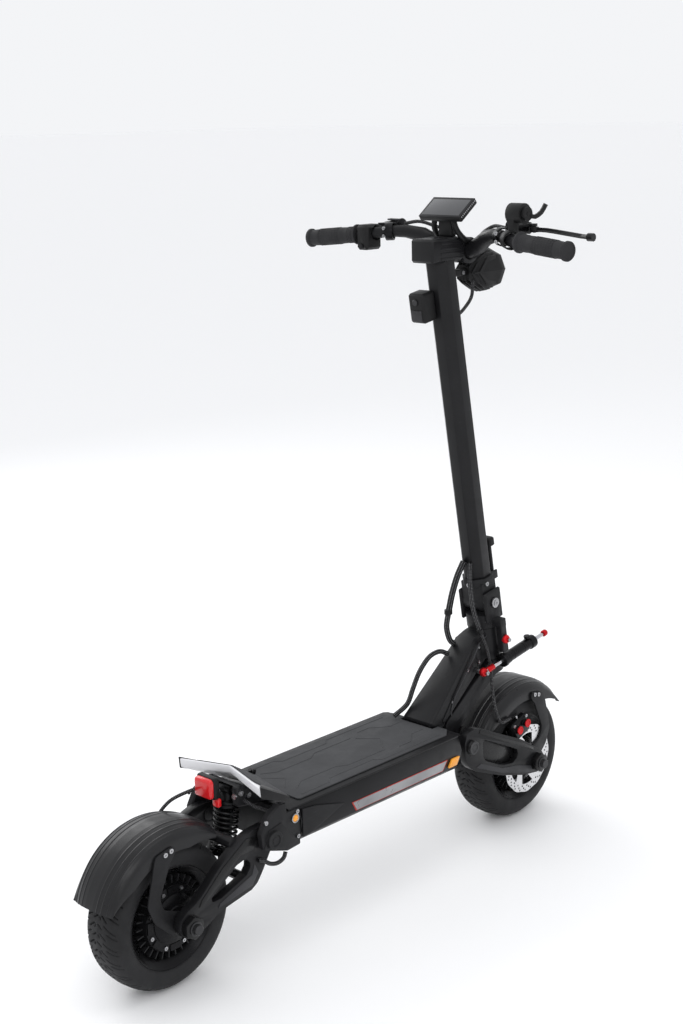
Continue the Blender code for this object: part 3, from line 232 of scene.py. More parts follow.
def surface(name, colour, roughness, metallic=0.0, mottle=0.22, grain=700.0, depth=0.12, scuffs=0.0,
            coat=0.0):
    """A finish whose colour, gloss and bump vary over the piece."""
    material = bpy.data.materials.new(name)
    material.use_nodes = True
    tree = material.node_tree
    shader = tree.nodes["Principled BSDF"]
    shader.inputs["Metallic"].default_value = metallic
    shader.inputs["Coat Weight"].default_value = coat
    shader.inputs["Coat Roughness"].default_value = 0.15
    shader.inputs["Specular IOR Level"].default_value = SPECULAR
    place = tree.nodes.new("ShaderNodeTexCoord").outputs["Object"]
    broad = link_noise(tree, place, 14.0, 5.0)
    colour_out = link_mix(tree, link_range(tree, broad, 0.0, 1.0), shade(colour, 1 - mottle),
                          shade(colour, 1 + mottle))
    if scuffs:
        stretch = tree.nodes.new("ShaderNodeMapping")
        stretch.inputs["Scale"].default_value = (1.0, 5.0, 9.0)
        tree.links.new(place, stretch.inputs["Vector"])
        lines = link_noise(tree, stretch.outputs["Vector"], 38.0, 8.0)
        colour_out = link_mix(tree, link_range(tree, lines, 0.0, scuffs, 0.62, 0.74), colour_out,
                              shade(colour, 4.0))
    tree.links.new(colour_out, shader.inputs["Base Color"])
    gloss = link_noise(tree, place, 55.0, 4.0)
    tree.links.new(
        link_range(tree, gloss, max(0.05, roughness - 0.07), min(1.0, roughness + 0.09)),
                   shader.inputs["Roughness"]
    )
    bump = tree.nodes.new("ShaderNodeBump")
    bump.inputs["Strength"].default_value = depth
    bump.inputs["Distance"].default_value = 0.0004
    tree.links.new(link_noise(tree, place, grain, 2.0), bump.inputs["Height"])
    tree.links.new(bump.outputs["Normal"], shader.inputs["Normal"])
    return material


# %% The scooter's finishes
SATIN_BLACK = surface("satin_black_paint", (0.0085, 0.0085, 0.0095), 0.40, 0.1, scuffs=0.18, coat=0.05)
DEEP_BLACK = surface("gloss_black_paint", (0.0055, 0.0055, 0.006), 0.30, 0.0, mottle=0.10, grain=450.0,
                     depth=0.05, coat=0.15)
GREY_BLACK = surface("powder_coat", (0.0130, 0.0130, 0.0142), 0.46, 0.1, grain=1100.0, depth=0.3, scuffs=0.15)
ANODISED = surface("black_anodising", (0.0110, 0.0110, 0.0120), 0.28, 0.6, mottle=0.15, grain=1500.0,
                   depth=0.05)
MOULDED = surface("moulded_black_plastic", (0.0085, 0.0085, 0.0090), 0.45, 0.0, grain=1300.0, depth=0.25)
FENDER_PLASTIC = surface("fender_plastic", (0.0120, 0.0120, 0.0130), 0.34, 0.0, grain=900.0, depth=0.08,
                         scuffs=0.12, coat=0.1)
RUBBER = surface("grip_rubber", (0.0230, 0.0230, 0.0245), 0.66, 0.0, grain=1000.0, depth=0.4)
TYRE_RUBBER = surface("tyre_rubber", (0.0165, 0.0165, 0.0175), 0.58, 0.0, mottle=0.30, grain=420.0,
                      depth=0.30, scuffs=0.08)
BRIGHT_STEEL = surface("ground_steel", (0.66, 0.66, 0.67), 0.26, 1.0, mottle=0.1, grain=900.0, depth=0.15)
SCREW_STEEL = surface("plated_screw", (0.42, 0.42, 0.43), 0.30, 1.0, mottle=0.15, grain=800.0, depth=0.1)
DARK_STEEL = surface("blackened_screw", (0.05, 0.05, 0.052), 0.35, 0.8, mottle=0.2)
RED_ANODISED = surface("red_anodising", (0.50, 0.012, 0.016), 0.25, 0.6, mottle=0.18, grain=900.0, depth=0.06)
WHITE_PAINT = surface("white_paint", (0.78, 0.78, 0.80), 0.34, 0.0, mottle=0.04, grain=700.0, depth=0.08,
                      coat=0.2)
AMBER = surface("amber_lens", (0.85, 0.34, 0.03), 0.18, 0.0, mottle=0.12, grain=260.0, depth=0.5, coat=0.5)
BRASS = surface("brass", (0.60, 0.38, 0.12), 0.30, 1.0, mottle=0.15)
BARE_ALLOY = surface("bare_alloy", (0.36, 0.36, 0.37), 0.38, 0.9, mottle=0.12)
BATTERY_WRAP = surface("battery_wrap", (0.02, 0.06, 0.17), 0.45, 0.0)
REFLECTIVE = surface("reflective_strip", (0.30, 0.30, 0.31), 0.32, 0.7, mottle=0.25, grain=260.0, depth=0.3)
RED_LINE = surface("red_line", (0.42, 0.03, 0.02), 0.45, 0.0)
SCREEN = surface("screen_glass", (0.055, 0.056, 0.060), 0.12, 0.0, mottle=0.06, grain=200.0, depth=0.02,
                 coat=0.6)
LAMP_GLASS = surface("lamp_glass", (0.55, 0.57, 0.60), 0.10, 0.2, mottle=0.1, grain=160.0, depth=0.4,
                     coat=0.8)
CARTRIDGE = surface("hard_chrome", (0.50, 0.50, 0.52), 0.15, 1.0, mottle=0.06)
print(len(bpy.data.materials), "finishes so far")


# %% Red tail lamp and braided hose
def tail_lens():
    """Clear red plastic with the small prisms of a reflector."""
    material = surface("red_lens", (0.55, 0.012, 0.016), 0.16, 0.0, mottle=0.2, coat=0.6)
    tree = material.node_tree
    shader = tree.nodes["Principled BSDF"]
    prisms = tree.nodes.new("ShaderNodeTexVoronoi")
    prisms.inputs["Scale"].default_value = 330.0
    place = next(node for node in tree.nodes if node.type == "TEX_COORD")
    tree.links.new(place.outputs["Object"], prisms.inputs["Vector"])
    bump = next(node for node in tree.nodes if node.type == "BUMP")
    bump.inputs["Strength"].default_value = 0.6
    tree.links.new(prisms.outputs["Distance"], bump.inputs["Height"])
    shader.inputs["Emission Color"].default_value = (0.6, 0.01, 0.01, 1)
    shader.inputs["Emission Strength"].default_value = 0.10
    return material


def braid(name, dark, light, across=4.0, along=190.0):
    """A woven sleeve: two sets of strands that cross, read from the hose's own UV map."""
    material = bpy.data.materials.new(name)
    material.use_nodes = True
    tree = material.node_tree
    shader = tree.nodes["Principled BSDF"]
    shader.inputs["Roughness"].default_value = 0.5
    shader.inputs["Specular IOR Level"].default_value = SPECULAR
    split = tree.nodes.new("ShaderNodeSeparateXYZ")
    tree.links.new(tree.nodes.new("ShaderNodeTexCoord").outputs["UV"], split.inputs["Vector"])

    def math(kind, first, second):
        node = tree.nodes.new("ShaderNodeMath")
        node.operation = kind
        for socket, value in zip(node.inputs, (first, second)):
            if isinstance(value, float):
                socket.default_value = value
            elif value is not None:
                tree.links.new(value, socket)
        return node.outputs["Value"]

    turn = math("MULTIPLY", split.outputs["X"], across * 2 * pi)
    run = math("MULTIPLY", split.outputs["Y"], along * 2 * pi)
    one = math("SINE", math("ADD", turn, run), None)
    two = math("SINE", math("SUBTRACT", turn, run), None)
    weave = math("MULTIPLY", one, two)
    fleck = link_noise(tree, split.outputs["Y"], 900.0)
    colour = link_mix(tree, link_range(tree, weave, 0.0, 1.0, 0.55, 0.95), dark, light)
    patchy = link_mix(tree, link_range(tree, fleck, 0.0, 0.5), colour, dark)
    tree.links.new(patchy, shader.inputs["Base Color"])
    bump = tree.nodes.new("ShaderNodeBump")
    bump.inputs["Strength"].default_value = 0.7
    bump.inputs["Distance"].default_value = 0.0006
    tree.links.new(weave, bump.inputs["Height"])
    tree.links.new(bump.outputs["Normal"], shader.inputs["Normal"])
    return material


RED_LENS = tail_lens()
SLEEVE = braid("braided_sleeve", (0.005, 0.005, 0.006), (0.46, 0.46, 0.47))

# %% [markdown]
# ## Making and placing pieces
# A piece is always built in place, with its object at the origin, so that it moves with
# the mechanical body it rides on. These helpers cover most of the scooter: a refined copy of
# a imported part, a round piece turned about any line, a flat plate with holes, a swept hose
# and a rounded block.


# %% From mesh to a placed piece
def settle(obj, body, *nodes, smooth=38):
    """Lets a finished piece ride on a body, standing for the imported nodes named."""
    if obj.type == "MESH" and smooth:
        obj.data.shade_smooth()
        obj.data.set_sharp_from_angle(angle=radians(smooth))
    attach(obj, body)
    if nodes:
        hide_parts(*nodes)
    return obj


def add_mesh(name, verts, faces, material):
    mesh = bpy.data.meshes.new(name)
    mesh.from_pydata([tuple(vert) for vert in verts], [], [tuple(face) for face in faces])
    mesh.materials.append(material)
    obj = bpy.data.objects.new(name, mesh)
    bpy.context.scene.collection.objects.link(obj)
    return obj


def face_out(obj):
    bm = bmesh.new()
    bm.from_mesh(obj.data)
    bmesh.ops.remove_doubles(bm, verts=bm.verts, dist=0.00001)
    bmesh.ops.recalc_face_normals(bm, faces=bm.faces)
    bm.to_mesh(obj.data)
    bm.free()
    return obj


def apply_modifiers(obj):
    """Turns an object's modifiers into plain mesh."""
    bpy.context.view_layer.update()
    graph = bpy.context.evaluated_depsgraph_get()
    mesh = bpy.data.meshes.new_from_object(obj.evaluated_get(graph))
    mesh.transform(obj.matrix_world)
    obj.modifiers.clear()
    obj.data = mesh
    obj.matrix_world = Matrix.Identity(4)
    return obj


def bevelled(obj, width, segments=2, angle=30):
    modifier = obj.modifiers.new("edges", "BEVEL")
    modifier.width = width
    modifier.segments = segments
    modifier.angle_limit = radians(angle)
    modifier.use_clamp_overlap = True
    return apply_modifiers(obj)


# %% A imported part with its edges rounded
def refine(node, body, material, width=0.0008, new_name=None):
    """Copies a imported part, joins its triangles into faces and rounds its edges."""
    source = frame["nodes"][node]
    mesh = source.data.copy()
    obj = bpy.data.objects.new(new_name or node + "_finished", mesh)
    bpy.context.scene.collection.objects.link(obj)
    mesh.materials.clear()
    mesh.materials.append(material)
    bm = bmesh.new()
    bm.from_mesh(mesh)
    bmesh.ops.remove_doubles(bm, verts=bm.verts, dist=0.00002)
    bmesh.ops.dissolve_limit(bm, angle_limit=radians(1.5), verts=bm.verts, edges=bm.edges)
    bm.to_mesh(mesh)
    bm.free()
    if width:
        bevelled(obj, width)
    return settle(obj, body, node)


# %% Round pieces, plates, hoses and blocks
def turned(name, start, end, profile, material, steps=48):
    """A piece turned about the line from start to end. The profile is (along, radius)."""
    start = Vector(start)
    axis = (Vector(end) - start).normalized()
    side = axis.orthogonal().normalized()
    other = axis.cross(side)
    verts = []
    for along, radius in profile:
        for k in range(steps):
            angle = 2 * pi * k / steps
            verts.append(start + axis * along + (side * cos(angle) + other * sin(angle)) * radius)
    faces = []
    for i in range(len(profile) - 1):
        for k in range(steps):
            there = (k + 1) % steps
            faces.append((i * steps + k, i * steps + there, (i + 1) * steps + there, (i + 1) * steps + k))
    faces.append(tuple(reversed(range(steps))))
    faces.append(tuple((len(profile) - 1) * steps + k for k in range(steps)))
    return face_out(add_mesh(name, verts, faces, material))


def pill(length, radius, edge=0.001):
    """The profile of a plain round bar with softened ends."""
    return [(0.0, radius - edge), (edge * 0.3, radius - edge * 0.3), (edge, radius),
            (length - edge, radius), (length - edge * 0.3, radius - edge * 0.3), (length, radius - edge)]


def circle(centre, radius, steps=24, start=0.0):
    return [
        (centre[0] + radius * cos(start + 2 * pi * k / steps),
         centre[1] + radius * sin(start + 2 * pi * k / steps))
        for k in range(steps)
    ]


def plate(name, loops, thickness, origin, right, up, material, bevel=0.0):
    """A flat plate with holes, centred on the plane through origin."""
    curve = bpy.data.curves.new(name, "CURVE")
    curve.dimensions = "2D"
    curve.fill_mode = "BOTH"
    curve.extrude = thickness / 2
    for loop in loops:
        spline = curve.splines.new("POLY")
        spline.points.add(len(loop) - 1)
        for point, (x, y) in zip(spline.points, loop):
            point.co = (x, y, 0.0, 1.0)
        spline.use_cyclic_u = True
    holder = bpy.data.objects.new(name + "_curve", curve)
    bpy.context.scene.collection.objects.link(holder)
    right = Vector(right).normalized()
    up = Vector(up).normalized()
    holder.matrix_world = Matrix.Translation(origin) @ Matrix((right, up,
                                                               right.cross(up))).transposed().to_4x4()
    bpy.context.view_layer.update()
    mesh = bpy.data.meshes.new_from_object(holder.evaluated_get(bpy.context.evaluated_depsgraph_get()))
    mesh.transform(holder.matrix_world)
    bpy.data.objects.remove(holder, do_unlink=True)
    obj = bpy.data.objects.new(name, mesh)
    bpy.context.scene.collection.objects.link(obj)
    mesh.materials.clear()
    mesh.materials.append(material)
    face_out(obj)
    if bevel:
        bevelled(obj, bevel)
    return obj


def smooth_route(corners, spacing):
    """Points about one spacing apart on a smooth curve through the corners."""
    corners = [Vector(corner) for corner in corners]
    ends = [2 * corners[0] - corners[1]] + corners + [2 * corners[-1] - corners[-2]]
    points = []
    for i in range(1, len(ends) - 2):
        a, b, c, d = ends[i - 1 : i + 3]
        steps = max(1, round((c - b).length / spacing))
        for k in range(steps):
            t = k / steps
            points.append(
                0.5 * (2 * b + (c - a) * t + (2 * a - 5 * b + 4 * c - d) * t**2 + (3 * b - a - 3 * c + d)
                       * t**3)
            )
    points.append(corners[-1])
    return points


def hose(name, corners, radius, material, sides=12, spacing=0.004, widths=None):
    """A swept round hose with a UV map: once around across, and metres along."""
    points = smooth_route(corners, spacing)
    tangents = [(b - a).normalized() for a, b in zip(points, points[1:])]
    tangents.append(tangents[-1])
    side = tangents[0].orthogonal().normalized()
    verts = []
    lengths = [0.0]
    for i, (point, tangent) in enumerate(zip(points, tangents)):
        side = (side - tangent * side.dot(tangent)).normalized()
        other = tangent.cross(side)
        width = radius if widths is None else radius * widths(i / (len(points) - 1))
        for k in range(sides):
            angle = 2 * pi * k / sides
            verts.append(point + (side * cos(angle) + other * sin(angle)) * width)
        if i:
            lengths.append(lengths[-1] + (point - points[i - 1]).length)
    faces = []
    spans = []
    for i in range(len(points) - 1):
        for k in range(sides):
            there = (k + 1) % sides
            faces.append((i * sides + k, i * sides + there, (i + 1) * sides + there, (i + 1) * sides + k))
            spans.append([(k / sides, lengths[i]), ((k + 1) / sides, lengths[i]),
                          ((k + 1) / sides, lengths[i + 1]), (k / sides, lengths[i + 1])])
    faces.append(tuple(reversed(range(sides))))
    spans.append([(0.5, 0.0)] * sides)
    faces.append(tuple((len(points) - 1) * sides + k for k in range(sides)))
    spans.append([(0.5, lengths[-1])] * sides)
    obj = add_mesh(name, verts, faces, material)
    layer = obj.data.uv_layers.new(name="along")
    layer.data.foreach_set("uv", [value for span in spans for pair in span for value in pair])
    return obj


def rounded_block(name, size, place, material, turn=None, bevel=0.002, segments=3):
    """A block with rounded edges, turned by a rotation matrix."""
    x, y, z = (length / 2 for length in size)
    turn = turn or Matrix.Identity(3)
    verts = [Vector(place) + turn @ Vector((a * x, b * y,
                                            c * z)) for a in (-1, 1) for b in (-1, 1) for c in (-1, 1)]
    faces = [(0, 1, 3, 2), (4, 6, 7, 5), (0, 4, 5, 1), (2, 3, 7, 6), (0, 2, 6, 4), (1, 5, 7, 3)]
    obj = face_out(add_mesh(name, verts, faces, material))
    return bevelled(obj, bevel, segments)


def stem_turn():
    """The rotation of the leaning stem's frame."""
    return Matrix((STEER_AHEAD, Vector((0, 1, 0)), STEER_AXIS)).transposed()


def as_one(name, pieces, body, *nodes, smooth=38):
    """Joins pieces into one object that keeps each one's material."""
    bm = bmesh.new()
    materials = []
    for piece in pieces:
        start = len(bm.faces)
        for material in piece.data.materials:
            if material not in materials:
                materials.append(material)
        slots = [materials.index(material) for material in piece.data.materials]
        bm.from_mesh(piece.data)
        bm.faces.ensure_lookup_table()
        for face in bm.faces[start:]:
            face.material_index = slots[face.material_index]
    mesh = bpy.data.meshes.new(name)
    bm.to_mesh(mesh)
    bm.free()
    for piece in pieces:
        bpy.data.objects.remove(piece, do_unlink=True)
    for material in materials:
        mesh.materials.append(material)
    obj = bpy.data.objects.new(name, mesh)
    bpy.context.scene.collection.objects.link(obj)
    return settle(obj, body, *nodes, smooth=smooth)


# %% [markdown]
# ## Screws by Geometry Nodes
# The scooter is held together by button-head screws with a hexagonal socket. One node
# tree makes a head, cuts its socket, and sets a copy on every point of a small mesh, turned to
# the direction stored on that point. Changing a size changes every screw.


# %% The screw tree
def new_tree(name, inputs):
    tree = bpy.data.node_groups.new(name, "GeometryNodeTree")
    tree.interface.new_socket(name="Geometry", in_out="INPUT", socket_type="NodeSocketGeometry")
    for label, kind, value in inputs:
        socket = tree.interface.new_socket(name=label, in_out="INPUT", socket_type=kind)
        if value is not None:
            socket.default_value = value
    tree.interface.new_socket(name="Geometry", in_out="OUTPUT", socket_type="NodeSocketGeometry")
    return tree, tree.nodes.new("NodeGroupInput"), tree.nodes.new("NodeGroupOutput")


def make_screw_tree():
    tree, given, result = new_tree(
        "screws_on_points",
        [("Head Radius", "NodeSocketFloat", 0.004), ("Head Height", "NodeSocketFloat", 0.0025),
         ("Finish", "NodeSocketMaterial", None)],
    )
    link = tree.links.new
    head = tree.nodes.new("GeometryNodeMeshCylinder")
    head.inputs["Vertices"].default_value = 20
    link(given.outputs["Head Radius"], head.inputs["Radius"])
    link(given.outputs["Head Height"], head.inputs["Depth"])
    socket = tree.nodes.new("GeometryNodeMeshCylinder")
    socket.inputs["Vertices"].default_value = 6
    half = tree.nodes.new("ShaderNodeMath")
    half.operation = "MULTIPLY"
    half.inputs[1].default_value = 0.52
    link(given.outputs["Head Radius"], half.inputs[0])
    link(half.outputs[0], socket.inputs["Radius"])
    link(given.outputs["Head Height"], socket.inputs["Depth"])
    raise_it = tree.nodes.new("ShaderNodeCombineXYZ")
    lift = tree.nodes.new("ShaderNodeMath")
    lift.operation = "MULTIPLY"
    lift.inputs[1].default_value = 0.45
    link(given.outputs["Head Height"], lift.inputs[0])
    link(lift.outputs[0], raise_it.inputs["Z"])
    move = tree.nodes.new("GeometryNodeTransform")
    link(socket.outputs["Mesh"], move.inputs["Geometry"])
    link(raise_it.outputs[0], move.inputs["Translation"])
    carve = tree.nodes.new("GeometryNodeMeshBoolean")
    carve.operation = "DIFFERENCE"
    link(head.outputs["Mesh"], carve.inputs["Mesh 1"])
    link(move.outputs["Geometry"], carve.inputs["Mesh 2"])
    facing = tree.nodes.new("GeometryNodeInputNamedAttribute")
    facing.data_type = "FLOAT_VECTOR"
    facing.inputs["Name"].default_value = "facing"
    turn = tree.nodes.new("FunctionNodeAlignRotationToVector")
    turn.axis = "Z"
    link(facing.outputs["Attribute"], turn.inputs["Vector"])
    spread = tree.nodes.new("GeometryNodeInstanceOnPoints")
    link(given.outputs["Geometry"], spread.inputs["Points"])
    link(carve.outputs["Mesh"], spread.inputs["Instance"])
    link(turn.outputs["Rotation"], spread.inputs["Rotation"])
    real = tree.nodes.new("GeometryNodeRealizeInstances")
    link(spread.outputs["Instances"], real.inputs["Geometry"])
    paint = tree.nodes.new("GeometryNodeSetMaterial")
    link(real.outputs["Geometry"], paint.inputs["Geometry"])
    link(given.outputs["Finish"], paint.inputs["Material"])
    link(paint.outputs["Geometry"], result.inputs["Geometry"])
    return tree


SCREW_TREE = make_screw_tree()


def run_tree(obj, tree, values):
    """Gives an object a node tree, sets its named inputs and turns the result into mesh."""
    modifier = obj.modifiers.new("made_by_nodes", "NODES")
    modifier.node_group = tree
    for item in tree.interface.items_tree:
        if item.in_out == "INPUT" and item.name in values:
            modifier[item.identifier] = values[item.name]
    return apply_modifiers(obj)


def screws(name, places, body, radius=0.004, height=0.003, material=SCREW_STEEL):
    """Screws at (place, facing) pairs, riding on one body."""
    mesh = bpy.data.meshes.new(name)
    mesh.from_pydata([tuple(place) for place, _ in places], [], [])
    facing = mesh.attributes.new("facing", "FLOAT_VECTOR", "POINT")
    facing.data.foreach_set("vector", [value for _, way in places for value in Vector(way)])
    obj = bpy.data.objects.new(name, mesh)
    bpy.context.scene.collection.objects.link(obj)
    run_tree(obj, SCREW_TREE, {"Head Radius": radius, "Head Height": height, "Finish": material})
    return settle(obj, body)


print("screw tree ready:", len(SCREW_TREE.nodes), "nodes")

# %% [markdown]
# ## Tyres
# The tyres are ten inches across, with a rounded shoulder and short slanted slits in the
# tread. The whole tyre is one surface turned about the axle. Its tread points are pushed in
# wherever they lie near a slit, so the slits are real grooves that catch the light.

# %% Tyres with a cut tread
SLITS = [
    ((0.002, 0.004), (0.009, 0.009)),
    ((0.008, 0.018), (0.019, 0.026)),
    ((0.015, 0.003), (0.034, 0.015)),
    ((0.021, 0.015), (0.036, 0.024)),
    ((0.003, 0.020), (0.006, 0.024)),
]
PITCHES = 27


def slit_depth(arc, left):
    """How deep the tread is cut at an arc length and a distance from the middle."""
    pitch = 2 * pi * WHEEL_RADIUS / PITCHES
    shifted = np.where(left < 0, arc + pitch / 2, arc)
    around = np.mod(shifted, pitch)
    out = np.abs(left)
    nearest = np.full(arc.shape, 1.0)
    for (y0, a0), (y1, a1) in SLITS:
        length2 = (y1 - y0) ** 2 + (a1 - a0) ** 2
        for turn in (-pitch, 0.0, pitch):
            t = ((out - y0) * (y1 - y0) + (around - turn - a0) * (a1 - a0)) / length2
            t = np.clip(t, 0, 1)
            gap = np.hypot(out - y0 - t * (y1 - y0), around - turn - a0 - t * (a1 - a0))
            nearest = np.minimum(nearest, gap)
    return 0.0030 * np.clip(1.0 - (nearest - 0.0004) / 0.0008, 0, 1)


def tyre_profile():
    """Points from one bead over the tread to the other, as (radius, left)."""
    r = WHEEL_RADIUS
    corners = [(0.0838, 0.0305), (0.0862, 0.0340), (0.0895, 0.0380), (0.0965, 0.0405), (0.1050, 0.0410),
               (0.1130, 0.0388), (0.1205, 0.0315), (0.1250, 0.0200), (r, 0.0)]
    half = smooth_route([(radius, left, 0) for radius, left in corners], 0.0018)
    half = [(point.x, point.y) for point in half]
    return half + [(radius, -left) for radius, left in reversed(half[:-1])]


def make_tyre(name, centre, body, node, steps=840):
    profile = tyre_profile()
    radius = np.array([point[0] for point in profile])
    left = np.array([point[1] for point in profile])
    angle = np.linspace(0, 2 * pi, steps, endpoint=False)
    angles, radii = np.meshgrid(angle, radius, indexing="ij")
    lefts = np.meshgrid(angle, left, indexing="ij")[1]
    tread = np.clip((radii - 0.1120) / 0.0045, 0, 1)
    radii = radii - slit_depth(angles * WHEEL_RADIUS, lefts) * tread
    x = centre.x + radii * np.cos(angles)
    z = centre.z + radii * np.sin(angles)
    verts = np.stack([x, centre.y + lefts, z], -1).reshape(-1, 3)
    count = len(profile)
    faces = []
    for i in range(steps):
        here = i * count
        there = ((i + 1) % steps) * count
        for k in range(count - 1):
            faces.append((here + k, here + k + 1, there + k + 1, there + k))
        faces.append((here + count - 1, here, there, there + count - 1))
    obj = add_mesh(name, verts, faces, TYRE_RUBBER)
    bm = bmesh.new()
    bm.from_mesh(obj.data)
    bmesh.ops.recalc_face_normals(bm, faces=bm.faces)
    bm.to_mesh(obj.data)
    bm.free()
    return settle(obj, body, node, smooth=60)


make_tyre("rear_tyre_treaded", REAR_AXLE, "rear_wheel", "rear_tyre")
make_tyre("front_tyre_treaded", FRONT_AXLE, "front_wheel", "front_tyre")
print("each tyre has", PITCHES * len(SLITS) * 2, "slits")

# %% [markdown]
# ## Hub motors
# Each wheel is a motor: the tyre sits on a wide rim, and a stepped cover with cooling ribs
# and a ring of screws closes it. The rim and cover are one turned profile. The ribs are set
# round the axle by a node tree, because they only differ in their angle.


# %% A ring of ribs by Geometry Nodes
def make_rib_tree():
    tree, given, result = new_tree(
        "ribs_in_a_ring",
        [("Count", "NodeSocketInt", 24), ("Ring Radius", "NodeSocketFloat", 0.05),
         ("Rib Size", "NodeSocketVector", None), ("Finish", "NodeSocketMaterial", None)],
    )
    link = tree.links.new
    ring = tree.nodes.new("GeometryNodeMeshCircle")
    link(given.outputs["Count"], ring.inputs["Vertices"])
    link(given.outputs["Ring Radius"], ring.inputs["Radius"])
    rib = tree.nodes.new("GeometryNodeMeshCube")
    link(given.outputs["Rib Size"], rib.inputs["Size"])
    where = tree.nodes.new("GeometryNodeInputPosition")
    turn = tree.nodes.new("FunctionNodeAlignRotationToVector")
    turn.axis = "X"
    link(where.outputs["Position"], turn.inputs["Vector"])
    spread = tree.nodes.new("GeometryNodeInstanceOnPoints")
    link(ring.outputs["Mesh"], spread.inputs["Points"])
    link(rib.outputs["Mesh"], spread.inputs["Instance"])
    link(turn.outputs["Rotation"], spread.inputs["Rotation"])
    real = tree.nodes.new("GeometryNodeRealizeInstances")
    link(spread.outputs["Instances"], real.inputs["Geometry"])
    paint = tree.nodes.new("GeometryNodeSetMaterial")
    link(real.outputs["Geometry"], paint.inputs["Geometry"])
    link(given.outputs["Finish"], paint.inputs["Material"])
    link(paint.outputs["Geometry"], result.inputs["Geometry"])
    return tree


RIB_TREE = make_rib_tree()


def rib_ring(name, centre, axis, count, radius, size, material):
    """Ribs about a centre. Size is (outwards, around, along the axis)."""
    obj = bpy.data.objects.new(name, bpy.data.meshes.new(name))
    bpy.context.scene.collection.objects.link(obj)
    obj.matrix_world = Matrix.Translation(centre) @ Vector(axis).to_track_quat("Z", "Y").to_matrix().to_4x4()
    return run_tree(obj, RIB_TREE,
                    {"Count": count, "Ring Radius": radius, "Rib Size": size, "Finish": material})


# %% Rims, covers and their ribs
def make_hub(end, centre, disc_side):
    body = end + "_wheel"
    start = centre + Vector((0, -0.052, 0))
    reach = {-1: 0.0460, 1: 0.0460}
    reach[disc_side] = 0.0516

    def side(sign):
        return [
            (0.052 + sign * reach[sign], 0.0095), (0.052 + sign * reach[sign], 0.0225),
            (0.052 + sign * (reach[sign] - 0.0012), 0.0238), (0.052 + sign * 0.0420, 0.0242),
            (0.052 + sign * 0.0412, 0.0262), (0.052 + sign * 0.0398, 0.0400), (0.052 + sign * 0.0390, 0.0415),
            (0.052 + sign * 0.0372, 0.0420), (0.052 + sign * 0.0352, 0.0560), (0.052 + sign * 0.0290, 0.0580),
            (0.052 + sign * 0.0180, 0.0640), (0.052 + sign * 0.0180, 0.0690), (0.052 + sign * 0.0262, 0.0735),
            (0.052 + sign * 0.0300, 0.0800), (0.052 + sign * 0.0348, 0.0838), (0.052 + sign * 0.0366, 0.0862),
            (0.052 + sign * 0.0360, 0.0876), (0.052 + sign * 0.0345, 0.0872), (0.052 + sign * 0.0318, 0.0850),
            (0.052 + sign * 0.0304, 0.0836),
        ]

    profile = side(-1) + list(reversed(side(1)))
    hub = turned(end + "_hub_casting", start, centre + Vector((0, 0.052, 0)), profile, ANODISED, 96)
    pieces = [hub]
    for sign in (-1, 1):
        out = Vector((0, sign, 0))
        pieces.append(rib_ring("ribs", centre + out * 0.0240, out, 30, 0.0640, (0.0130, 0.0022, 0.0100),
                               GREY_BLACK))
        pieces.append(rib_ring("lands", centre + out * 0.0370, out, 8, 0.0490, (0.0110, 0.0200, 0.0022),
                               ANODISED))
    valve = centre + Vector((0.0480, -0.0300, -0.0450))
    pieces.append(turned("valve", valve, valve + Vector((0, -1, 0)), pill(0.012, 0.0030), BRASS, 16))
    as_one(end + "_hub_motor_finished", pieces, body, end + "_hub_motor")
    places = []
    for sign in (-1, 1):
        for k in range(8):
            angle = 2 * pi * (k + 0.5) / 8
            place = centre + Vector((0.0500 * cos(angle), sign * 0.0368, 0.0500 * sin(angle)))
            places.append((place, (0, sign, 0)))
    screws(end + "_hub_screws", places, body, 0.0034, 0.0030)


make_hub("rear", REAR_AXLE, 1)
make_hub("front", FRONT_AXLE, -1)
print("two hub motors with 60 cooling ribs and 16 screws each")

# %% [markdown]
# ## Brake discs
# A brake disc is sheet steel: a braking ring full of small holes, carried on slanted
# arms. It is drawn as one outline with holes and given its real thickness, as a laser would
# cut it.


# %% Drilled discs
def disc_loops():
    loops = [[(radius * cos(a), radius * sin(a)) for a, radius in
              ((2 * pi * k / 144, 0.0692 + 0.0008 * cos(12 * 2 * pi * k / 144)) for k in range(144))]]
    arms = 6
    for k in range(arms):
        start = 2 * pi * k / arms
        outer = [(0.0530 * cos(a), 0.0530 * sin(a)) for a in np.linspace(start + 0.24, start + 0.86, 8)]
        inner = [(0.0290 * cos(a), 0.0290 * sin(a)) for a in np.linspace(start + 0.46, start - 0.04, 6)]
        loops.append([tuple(map(float, point)) for point in outer + inner])
    for k in range(24):
        for shift, radius in ((0.0, 0.0572), (0.09, 0.0616), (0.17, 0.0655)):
            angle = 2 * pi * k / 24 + shift
            loops.append(circle((radius * cos(angle), radius * sin(angle)), 0.0019, 10))
    for k in range(6):
        angle = 2 * pi * (k + 0.5) / 6
        loops.append(circle((0.0215 * cos(angle), 0.0215 * sin(angle)), 0.0018, 10))
    loops.append(circle((0, 0), 0.0125, 32))
    return loops


def make_disc(end, centre, side):
    place = centre + Vector((0, side * 0.0530, 0))
    disc = plate(end + "_disc_drilled", disc_loops(), 0.0019, place, (1, 0, 0), (0, 0, 1), BRIGHT_STEEL)
    settle(disc, end + "_wheel", end + "_brake_disc", smooth=30)
    places = []
    for k in range(6):
        angle = 2 * pi * (k + 0.5) / 6
        places.append((place + Vector((0.0215 * cos(angle), side * 0.0016, 0.0215 * sin(angle))),
                       (0, side, 0)))
    screws(end + "_disc_screws", places, end + "_wheel", 0.0033, 0.0026)


make_disc("rear", REAR_AXLE, 1)
make_disc("front", FRONT_AXLE, -1)

